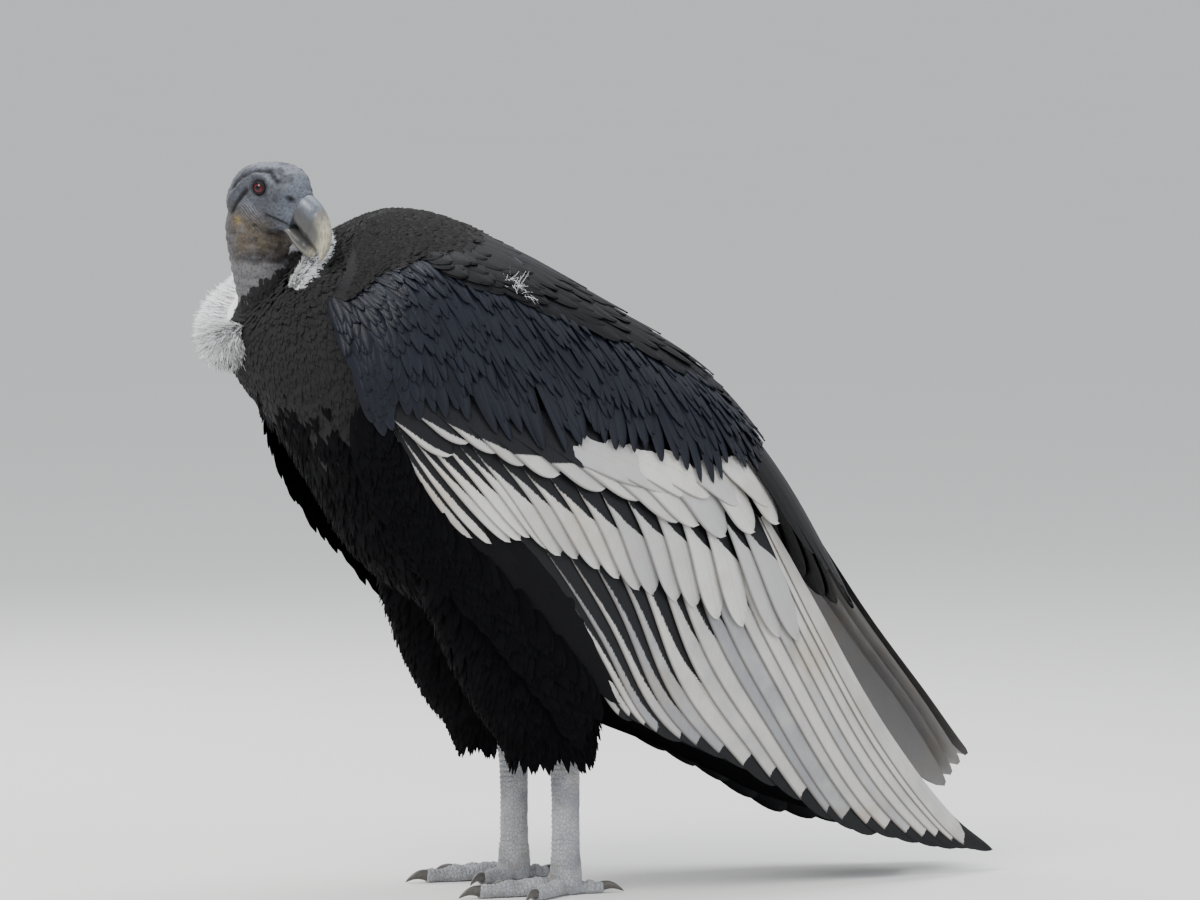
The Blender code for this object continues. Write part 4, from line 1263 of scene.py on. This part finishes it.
def head_marks(p):
    """Distances from the creases, and masks of the folds and patches, at each point of the skin."""
    f, s, u = head_local(p)

    def line(*points):
        """Distance in the side view from a line through the points."""
        return np.min([segment(f, u, a, b) for a, b in zip(points, points[1:])], axis=0)

    at = SimpleNamespace(f=f, u=u, line=line)
    at.side = np.clip((np.abs(s) - 7) / 9, 0, 1)
    at.near = np.minimum(np.abs(s) / 8, 1)
    at.neck = 1 - ease(u - 0.35 * f, -58, -40)
    at.crown = ease(u, 10, 22)
    at.eye = np.hypot(f - 20, u - 6)
    at.brow = line((-8, -9), (-5, 4), (6, 17), (20, 24), (34, 20))
    at.temple = line((9, -3), (5, -16), (1, -32))
    at.mouth = line((38, -15), (50, -15.5), (62, -14.7))
    at.jaw = line((30, -38), (46, -32), (60, -27))
    at.nostril = np.hypot((f - 52) * 0.62, u - 10)
    at.outer = np.clip((np.abs(s) - 5) / 4, 0, 1)
    # Slanted wrinkles run from behind the eye to the chin
    at.warp = noise(p, 110.0, 3)
    slant = f * 0.50 + u * 0.86 + 2.4 * at.warp
    at.face = at.side * ease(f, 4, 12) * ease(f, 56, 46) * ease(slant, 2, -4) * ease(slant, -36, -28)
    at.fold = np.abs(np.sin(slant * 1.15))
    # Folds run round the neck, uneven and slanted
    ring = p[:, 2] * 1000 + 0.35 * (p[:, 1] * 1000) + 6 * noise(p, 40.0, 8)
    at.ring = np.abs(np.sin(ring * 0.30))
    # Loose skin of the throat hangs over the neck's upper end
    round_neck = unit(p[:, :2] - np.array([0.0, -0.297]))
    facing = ease(round_neck @ np.array([0.97, 0.24]), -0.2, 0.6)
    at.height = p[:, 2] + 0.004 * at.warp
    at.throat = at.neck * facing * bump(at.height - 0.643, 0.022)
    at.crease = at.neck * facing * bump(at.height - 0.619, 0.005)
    return at


def head_relief(p, at):
    """Height of the skin over its plain shape, in millimetres."""
    ridges = (
        (1.2, at.eye - 11.5, 2.6),
        (-2.2, at.brow, 1.8),
        (1.5, at.line((36, 14), (20, 18), (6, 12)), 3.2),
        (-3.0, at.temple, 2.2),
        (1.6, at.line((12, -10), (7, -24), (3, -34)), 2.6),
        (1.6, at.line((-2, -4), (-6, -18), (-6, -30)), 2.6),
    )
    relief = -5.0 * at.side * ease(at.eye, 8.2, 5.5)
    for high, away, width in ridges:
        relief += at.side * high * bump(away, width)
    relief -= 2.4 * bump(at.mouth, 1.2) * at.near
    relief -= 1.4 * bump(at.jaw, 1.6) * at.near
    relief -= 3.2 * bump(at.nostril, 2.2) * at.outer
    relief += 0.9 * bump(at.nostril - 4.0, 1.2) * at.outer
    relief += at.face * (0.95 * at.fold - 0.45)
    # Finer wrinkles cross the crown
    relief += at.crown * 0.40 * np.sin((at.f * 0.9 + at.u * 0.4 + 3.0 * at.warp) * 0.95)
    relief += 0.45 * noise(p, 330.0, 5) + 0.28 * noise(p, 700.0, 6)
    relief += at.neck * (1.2 * at.ring - 0.6)
    relief += 3.4 * at.throat - 1.8 * at.crease
    # Smooth where the bill begins
    return relief * (1 - ease(at.f, 56, 60))


def head_tint(p, at):
    """Colours of the skin, with painted highlights and painted shade, laid one over the other."""
    cheek = at.side * bump(at.line((40, -36), (22, -36), (8, -40)), 15.0)
    lobe = np.hypot(at.f - 9, at.u + 36)
    lore = np.hypot((at.f - 35) * 0.7, at.u - 3)
    mottle = ease(noise(p, 200.0, 13), 0.1, 0.6)
    return paint(np.zeros_like(p) + np.array([0.058, 0.063, 0.078]), [
        # Painted highlight: the top of the head is lighter, as if lit from above
        (at.crown * 0.85, (0.165, 0.178, 0.210)),
        (ease(noise(p, 130.0, 11), -0.1, 0.5) * at.crown * 0.8, (0.040, 0.042, 0.050)),
        (ease(at.f, 38, 50) * 0.8, (0.090, 0.104, 0.132)),
        # Painted highlights on the wrinkles' crests and painted shade in their troughs
        (at.face * ease(at.fold, 0.35, 0.85) * 0.8, (0.170, 0.185, 0.220)),
        (at.face * ease(at.fold, 0.35, 0.05) * 0.8, (0.020, 0.020, 0.026)),
        (cheek * 0.90, (0.098, 0.074, 0.046)),
        (cheek * mottle * 0.7, (0.020, 0.017, 0.016)),
        (at.side * bump(lobe, 4.5) * 0.9, (0.260, 0.200, 0.070)),
        # Painted shade in the temple groove and the brow crease, both sunk in the relief
        (np.clip(at.side * bump(at.temple, 3.0) * 1.2, 0, 1), (0.008, 0.008, 0.010)),
        (at.side * bump(at.brow, 2.6) * 0.95, (0.014, 0.014, 0.018)),
        (at.side * bump(lore, 5.0) * 0.75, (0.022, 0.022, 0.028)),
        # Painted shade at the edge of the eye socket, in the gape, the jaw crease and the nostril pit, all
        # sunk in the relief
        (at.side * bump(at.eye - 8.5, 2.2) * 0.7, (0.018, 0.018, 0.022)),
        (bump(at.mouth, 2.4) * 0.85, (0.012, 0.012, 0.014)),
        (bump(at.jaw, 2.6) * 0.7 * at.near, (0.018, 0.018, 0.020)),
        (bump(at.nostril, 3.0) * at.side, (0.008, 0.008, 0.010)),
        (at.neck * 0.9, (0.062, 0.056, 0.054)),
        # Painted shade in the troughs of the neck's folds
        (at.neck * ease(at.ring, 0.35, 0.05) * 0.6, (0.020, 0.018, 0.018)),
        (np.clip(at.throat * 1.3, 0, 1) * 0.75, (0.088, 0.066, 0.042)),
        (at.throat * mottle * 0.8, (0.018, 0.015, 0.014)),
        # Painted shadow line under the hanging throat skin
        (at.crease * 0.8, (0.018, 0.017, 0.018)),
        (at.neck * ease(at.height, 0.622, 0.612) * 0.6, (0.150, 0.148, 0.155)),
    ])


def head_skin():
    obj = fuse("head_skin", [head_shape(), neck_shape()], 0.0009, SKIN, smoothing=3)
    p, normal = read_points(obj)
    at = head_marks(p)
    p = p + normal * (head_relief(p, at)[:, None] / 1000.0)
    write_points(obj, p, {"tint": head_tint(p, at)})
    return wear(obj, "skin_grey", "head", "neck")


head_skin()


def eye_look():
    look = Look("eye", 0.18, 0.2)
    look.shader.inputs["Coat Weight"].default_value = 0.3
    look.shader.inputs["Coat Roughness"].default_value = 0.03
    away = look.field("away")
    iris = look.mix(look.noise(900.0), (0.095, 0.001, 0.007), (0.040, 0.001, 0.003))
    base = look.mix(look.span(away, 0.36, 0.30), iris, (0.002, 0.002, 0.002))
    look.colour(look.mix(look.span(away, 0.80, 0.92), base, (0.05, 0.01, 0.01)))
    return look.mat


EYE = eye_look()
LID = plain_look("lid", 0.65, 0.15, 600.0, (0.006, 0.006, 0.007), (0.022, 0.022, 0.026), 1400.0, 0.4, 0.0005)

# Rings of the lids, from the socket in to the edge: radius, and height over the ball
LIDS = (
    (0.0112, -0.0030), (0.0098, 0.0000), (0.0084, 0.0018), (0.0072, 0.0027), (0.0064, 0.0030),
    (0.0058, 0.0028), (0.0055, 0.0022), (0.0056, 0.0012),
)


def eye(tag, side):
    """Eyeball, and lids that close over it."""
    centre = eye_centre(side)
    out = unit(HEAD_S * side + 0.16 * HEAD_F)
    x = unit(np.cross(HEAD_U, out))
    y = np.cross(out, x)
    rows, m = 33, 48
    b = around(m)
    circle = np.cos(b)[:, None] * x + np.sin(b)[:, None] * y
    a = np.linspace(0, math.pi, rows)[:, None]
    ball = out * np.cos(a)[..., None] + np.sin(a)[..., None] * circle
    lump = 1.0 + 0.06 * bump(a, 0.55)[..., None]
    away = np.sin(np.minimum(a, math.pi / 2)) + 0 * b
    faces = grid_faces(1, rows, m, wrap=True)
    obj = make("eyeball_" + tag, centre + 0.0074 * ball * lump, faces, EYE, fields={"away": away.ravel()})
    wear(obj, "eye_red", "eye_" + tag)
    slim = 1.0 - 0.16 * np.abs(np.sin(b))
    rings = []
    for radius, lift in LIDS:
        r = radius * slim
        z = np.sqrt(np.maximum(0.0078 ** 2 - np.minimum(r, 0.0077) ** 2, 0.0)) - 0.0044
        rings.append(centre + out * (0.0022 + z + lift)[:, None] + r[:, None] * circle)
    lids = make("lids_" + tag, np.array(rings), grid_faces(1, len(LIDS), m, wrap=True), LID)
    wear(lids, "skin_grey")


for tag, side in SIDES:
    eye(tag, side)


def horn_look():
    look = Look("horn", 0.34, 0.45)
    tint = look.field("tint", vector=True)
    streaks = look.noise(1.0, look.scaled(look.place(), (500.0, 500.0, 180.0)), detail=3.0)
    look.colour(look.mix(look.times(look.span(streaks, 0.55, 0.35), 0.45), tint, (0.05, 0.045, 0.04)))
    look.rough(look.span(look.noise(200.0), 0.3, 0.7, 0.28, 0.48))
    look.bump(streaks, 0.35, 0.0005)
    return look.mat


HORN = horn_look()


def bill(name, rows, node, lower=False):
    """One half of the bill, with a groove between the soft base and the horn."""
    n, m = 90, 64
    behind = (rows[0][0] - 4, rows[0][1], rows[0][2] - 4, rows[0][3], rows[0][4] * 0.96)
    top_f, top_u, low_f, low_u, half = spline([behind] + rows, np.linspace(0, 1, n)).T[..., None]
    c, s = np.cos(around(m)), np.sin(around(m))
    f = swing(top_f, low_f, c)
    u = swing(top_u, low_u, c)
    w = half * np.sign(s) * np.abs(s) ** 0.8
    w = w * (1 - 0.07 * bump(f - 79, 2.2)) * (1 + 0.02 * ease(f, 81, 74))
    if lower:
        layers = [
            (ease(f, 96, 82), (0.050, 0.050, 0.050)),
            (bump(u - low_u - 5, 2.0) * 0.6, (0.20, 0.19, 0.16)),
        ]
    else:
        # The cutting edge is drawn in
        w = w * (1 - 0.10 * ease(c, -0.55, -0.95))
        layers = [
            (ease(f, 97, 80) * 0.85, (0.075, 0.078, 0.086)),
            (ease(f, 83, 76) * ease(c, -0.5, 0.2), (0.120, 0.140, 0.175)),
            # Painted shade: the lower side of the upper bill, behind the hook, darker as if in shadow
            (ease(c, 0.70, 0.0) * ease(f, 101, 90) * 0.85, (0.05, 0.05, 0.05)),
        ]
    p = head_world(f, w, u)
    tint = paint(np.zeros((n, m, 3)) + np.array([0.40, 0.37, 0.28]), layers)
    first, last = (p[end].mean(0) + 0 * p[end] for end in (0, -1))
    points = np.concatenate([[first], p, [last]])
    tints = np.concatenate([tint[:1], tint, tint[-1:]]).reshape(-1, 3)
    faces = grid_faces(1, n + 2, m, wrap=True)
    return wear(outward(make(name, points, faces, HORN, fields={"tint": tints})), "bill_horn", node)


bill("upper_bill", BILL_UPPER, "bill_upper")
bill("lower_bill", BILL_LOWER, "bill_lower", lower=True)

# Ruff of down at the base of the neck, open toward the left front
RUFF_AT = np.array([0.0, -0.279, 0.578])
RUFF_LOW = np.array([0.0, -0.78, -0.62])
RUFF_UP = np.array([0.0, -0.62, 0.78])
RUFF_LIFT = np.array([0.0, -0.004, 0.016])
RUFF_REACH = 0.055
# Angles round the neck, in degrees: ends of the core, then start and turn of the down
CORE_ENDS = (115.0, 382.0)
DOWN_FROM = 94.0
DOWN_TURN = 289.0


def ruff_place(p):
    """Outward directions and places on the collar, lifted where it passes over the back."""
    p = np.asarray(p, float)[..., None]
    out = np.cos(p) * RUFF_LOW + np.sin(p) * X_AXIS
    return out, RUFF_AT + RUFF_REACH * out + RUFF_LIFT * (1 - np.cos(p)) / 2


def ruff_size(share):
    """Half the collar's thickness, from end to end."""
    return 0.0150 * (0.35 + 0.65 * np.sin(math.pi * share) ** 0.4)


def ruff_core():
    count = 40
    a = around(20)[:, None]
    out, mid = ruff_place(np.radians(np.linspace(*CORE_ENDS, count)))
    circle = np.cos(a) * out[:, None] + np.sin(a) * RUFF_UP
    points, faces = tube(mid[:, None] + ruff_size(np.linspace(0, 1, count))[:, None, None] * circle)
    points = points + 0.0012 * noise(points, 120.0, 2)[:, None]
    return outward(make("ruff_core", points, faces, DOWN, fields={"shade": np.full(len(points), 0.5)}))


def ribbons(name, root, way, normal, length, half, curl, n, rng, material, bake):
    """Fine curved strands of down."""
    count = len(root)
    k = np.linspace(0, 1, n)
    twist = rng.normal(0, 1, (count, 3))
    twist = unit(twist - way * np.sum(twist * way, -1, keepdims=True))
    across = unit(np.cross(way, normal) + 0.5 * twist)
    mid = root[:, None] + (length[:, None] * k)[..., None] * way[:, None]
    mid = mid + (curl[:, None] * length[:, None] * k ** 2)[..., None] * twist[:, None]
    mid = mid - (0.16 * length[:, None] * k ** 2)[..., None] * normal[:, None]
    kk, jj = lattice(count, k, np.array([-1.0, 1.0]))
    wide = (half[:, None, None] * (1 - kk ** 2.0) ** 0.5 + 0.00012) * jj
    points = mid[:, :, None] + wide[..., None] * across[:, None, None]
    lane = np.stack([wide, length[:, None, None] * kk, jj], -1)
    soft = unit(normal + rng.normal(0, 0.15, (count, 3)))
    return feathers(name, points, lane, rng.uniform(0, 1, count), material, bake, normals=soft)


def ruff_down():
    rng = np.random.default_rng(51)
    count = 30000
    share = rng.uniform(0, 1, count)
    p = np.radians(DOWN_FROM + share * DOWN_TURN)
    a = rng.uniform(-1.15, 2.6, count)
    out, root = ruff_place(p)
    normal = np.cos(a)[:, None] * out + np.sin(a)[:, None] * RUFF_UP
    root = root + ruff_size(share)[:, None] * normal * 0.9
    fall = np.where(a < 0.8, 0.45, -0.05)[:, None]
    clump = noise(root, 90.0, 12)[:, None]
    sway = (0.20 * rng.normal(0, 1, (count, 1)) + 0.20 * clump) * np.cross(out, RUFF_UP)
    way = unit(out * 0.75 + normal * 0.55 - RUFF_UP * fall + sway)
    front = np.clip(np.cos(p), 0, 1)
    full = np.interp(share, [0, 0.12, 0.30, 0.95, 1.0], [0.45, 0.60, 0.90, 1.0, 0.5])
    length = rng.uniform(0.010, 0.020, count) * full * (1 + 0.75 * front) * (1 + 0.15 * clump[:, 0])
    half = rng.uniform(0.0003, 0.0006, count)
    curl = rng.uniform(-0.35, 0.35, count)
    bake = spots(share, a, -1.2, 2.7)
    return ribbons("ruff_down", root, way, normal, length, half, curl, 4, rng, DOWN, bake)


wear(ruff_core(), "down_white", "ruff")
wear(ruff_down(), "down_white")


def wisp():
    """A tuft of loose down caught between the back and the left wing."""
    rng = np.random.default_rng(52)
    count = 70
    share = rng.uniform(0, 1, count)
    t = 0.192 + 0.024 * share
    q = 0.345 + 0.012 * share + 0.010 * rng.normal(0, 1, count)
    along, _, normal = frames(wing_point, t, q)
    root = wing_point(t, q) + 0.002 * normal
    way = unit(along) * rng.uniform(-0.2, 1.0, (count, 1)) + 0.12 * normal
    way = unit(way + 0.3 * rng.normal(0, 1, (count, 3)))
    length = rng.uniform(0.006, 0.020, count)
    half = rng.uniform(0.00001, 0.00006, count)
    curl = rng.uniform(-0.4, 0.4, count)
    bake = spots(t, q, 0.0, WING_END)
    return ribbons("wisp", root, way, normal, length, half, curl, 5, rng, DOWN, bake)


wear(wisp(), "down_white")

# Legs: the shank and foot are one skin, the claws sit on the toes
LEG_X = 0.070
PAD = (LEG_X, 0.001)
# Toes: name, angle from straight ahead, length and radius
TOES = [
    ("inner", -36, 0.060, 0.0085),
    ("middle", 2, 0.094, 0.0095),
    ("outer", 42, 0.068, 0.0085),
    ("hind", 172, 0.038, 0.0080),
]


def toe_axes(side, way):
    d = np.array([side * math.sin(math.radians(way)), -math.cos(math.radians(way)), 0.0])
    return d, np.array([d[1], -d[0], 0.0])


def toe_shape(side, way, length, radius):
    a = around(24)
    d, x = toe_axes(side, way)
    rings = []
    for k in np.linspace(0, 1, 30):
        swell = 1.0 + 0.10 * math.cos(k * 3 * 2 * math.pi)
        r = radius * swell * (1.05 - 0.28 * k) * (1.0 - 0.26 * max(0.0, (k - 0.93) / 0.07) ** 2)
        mid = np.array([side * PAD[0], PAD[1], GROUND + r * 0.84]) + d * length * k
        ring = mid + r * (np.cos(a)[:, None] * x + np.sin(a)[:, None] * Z_AXIS)
        ring[:, 2] = np.maximum(ring[:, 2], GROUND + 0.0004)
        rings.append(ring)
    return tube(rings)


def round_shape(side, rows):
    """A round shaft from rows of height, radius and place along y."""
    z, r, y = spline(rows, np.linspace(0, 1, 40)).T[..., None]
    a = around(40)
    return tube(np.stack([side * LEG_X + r * 0.92 * np.cos(a), y + r * np.sin(a), z + 0 * a], -1))


def leg_look():
    look = Look("leg_scales", 0.62, 0.35)
    p = look.place()
    cells = look.cells(330.0, look.scaled(p, (1.0, 1.0, 0.75)))
    dirt = look.noise(60.0)
    tone = look.mix(look.span(look.noise(25.0), 0.35, 0.65), (0.25, 0.26, 0.285), (0.40, 0.41, 0.43))
    tone = look.mix(look.times(look.span(cells, 0.10, 0.0), 0.6), tone, (0.15, 0.15, 0.15))
    look.colour(look.mix(look.times(look.span(dirt, 0.5, 0.75), 0.5), tone, (0.24, 0.21, 0.17)))
    look.bump(look.plus(look.span(cells, 0.0, 0.18), look.times(look.noise(900.0), 0.3)), 0.7, 0.0009)
    return look.mat


LEG = leg_look()


# Shank: height, radius and place along y; pad of the foot: height over the ground and radius
SHANK = [
    (GROUND + 0.006, 0.0150, 0.001), (GROUND + 0.0304, 0.0155, 0.001), (0.030, 0.0142, 0.001),
    (0.080, 0.0140, 0.001), (0.115, 0.0152, 0.000), (0.132, 0.0165, -0.001), (0.160, 0.0165, -0.003),
]
FOOT = ((0.0005, 0.0135), (0.004, 0.0155), (0.012, 0.0165), (0.022, 0.0162), (0.030, 0.0155))


def plates(along, pitch, line):
    """Raised scales one after another, parted by thin grooves."""
    return 1 - 2.0 * bump(np.mod(along, pitch) - pitch / 2, line)


def leg(tag, side):
    shapes = [round_shape(side, SHANK), round_shape(side, [(GROUND + z, r, PAD[1]) for z, r in FOOT])]
    shapes += [toe_shape(side, way, length, radius) for _, way, length, radius in TOES]
    obj = fuse("leg_skin_" + tag, shapes, 0.0010, LEG, smoothing=3)
    p, normal = read_points(obj)
    relief = 0.35 * noise(p, 220.0, 4) + 0.2 * noise(p, 600.0, 9)
    at = p - np.array([side * PAD[0], PAD[1], GROUND])
    for _, way, _, _ in TOES:
        d, x = toe_axes(side, way)
        run = at @ d * 1000
        off = np.abs(at @ x) * 1000
        on = ease(run, 14, 20) * ease(off, 11, 8) * ease(normal[:, 2], 0.0, 0.5)
        relief = relief + on * 0.55 * plates(run, 4.6, 0.7)
    front = ease(-(p[:, 1] - PAD[1]) * 1000, 2, 8) * ease(p[:, 2] - GROUND, 0.024, 0.034)
    relief = relief + front * 0.45 * plates(p[:, 2] * 1000 + 1.5 * noise(p, 60.0, 7), 5.2, 0.8)
    p = p + normal * relief[:, None] / 1000.0
    p[:, 2] = np.maximum(p[:, 2], GROUND + 0.0002)
    write_points(obj, p)
    wear(obj, "leg_grey", "shank_" + tag, "foot_" + tag)


def claw_look():
    look = Look("claw", 0.38, 0.45)
    look.colour(look.mix(look.noise(300.0), (0.035, 0.032, 0.030), (0.12, 0.11, 0.10)))
    look.bump(look.noise(1.0, look.scaled(look.place(), (700.0, 700.0, 300.0))), 0.35, 0.0004)
    return look.mat


CLAW = claw_look()


def claws(tag, side):
    shapes = []
    a = around(18)[:, None]
    for _, way, length, radius in TOES:
        d, x = toe_axes(side, way)
        foot = np.array([side * PAD[0], PAD[1], GROUND]) + d * (length - 0.002)
        rings = []
        for k in np.linspace(0, 1, 16):
            r = radius * (0.62 * (1 - k) ** 0.7 + 0.05)
            lift = 0.0068 + 0.0022 * math.sin(math.pi * k) - 0.0052 * k * k
            mid = foot + d * 0.0235 * k + Z_AXIS * lift
            ring = mid + r * (0.75 * np.cos(a) * x + np.sin(a) * Z_AXIS)
            ring[:, 2] = np.maximum(ring[:, 2], GROUND + 0.0004)
            rings.append(ring)
        shapes.append(tube(rings))
    obj = outward(make("claws_" + tag, *join(shapes), CLAW))
    wear(obj, "claw_horn", *["claw_%s_%s" % (toe[0], tag) for toe in TOES])


for tag, side in SIDES:
    leg(tag, side)
    claws(tag, side)


# Floor and light

def floor():
    plaster = plain_look("floor", 0.85, 0.2, 1.5, (0.80, 0.79, 0.77), (0.83, 0.82, 0.80), 180.0, 0.15, 0.001)
    n, m = 13, 64
    r = np.concatenate([[0.0, 0.02], np.geomspace(0.5, 90.0, n - 2)])[:, None]
    a = around(m)
    rings = np.stack([r * np.cos(a), r * np.sin(a), 0 * r + 0 * a], -1)
    obj = make("floor", rings - SHIFT, grid_faces(1, n, m, wrap=True), plaster)
    if obj.data.polygons[m + 1].normal.z < 0:
        obj.data.flip_normals()


def light(name, place, aim, size, power, colour=(1.0, 1.0, 1.0)):
    data = bpy.data.lights.new(name, "AREA")
    data.shape = "DISK"
    data.size = size
    data.energy = power
    data.color = colour
    obj = bpy.data.objects.new(name, data)
    scene.collection.objects.link(obj)
    obj.location = place
    way = unit(np.array(aim) - np.array(place))
    yaw = math.atan2(way[1], way[0])
    obj.rotation_euler = (math.acos(-way[2]), 0.0, yaw - math.pi / 2)


floor()
light("key", (1.2, -2.0, 2.8), (0, 0, 0.4), 1.5, 95.0, (1.0, 0.985, 0.96))
light("fill", (2.8, 2.0, 1.6), (0, 0, 0.4), 2.2, 30.0, (0.93, 0.96, 1.0))
light("top", (-0.6, 0.6, 3.0), (0, 0, 0.4), 2.0, 60.0, (0.95, 0.97, 1.0))
light("back", (-2.4, -0.6, 1.8), (0, 0, 0.5), 1.8, 40.0)
world = bpy.data.worlds.new("studio")
world.use_nodes = True
world.node_tree.nodes["Background"].inputs["Color"].default_value = (0.90, 0.93, 0.97, 1.0)
world.node_tree.nodes["Background"].inputs["Strength"].default_value = 0.85
scene.world = world
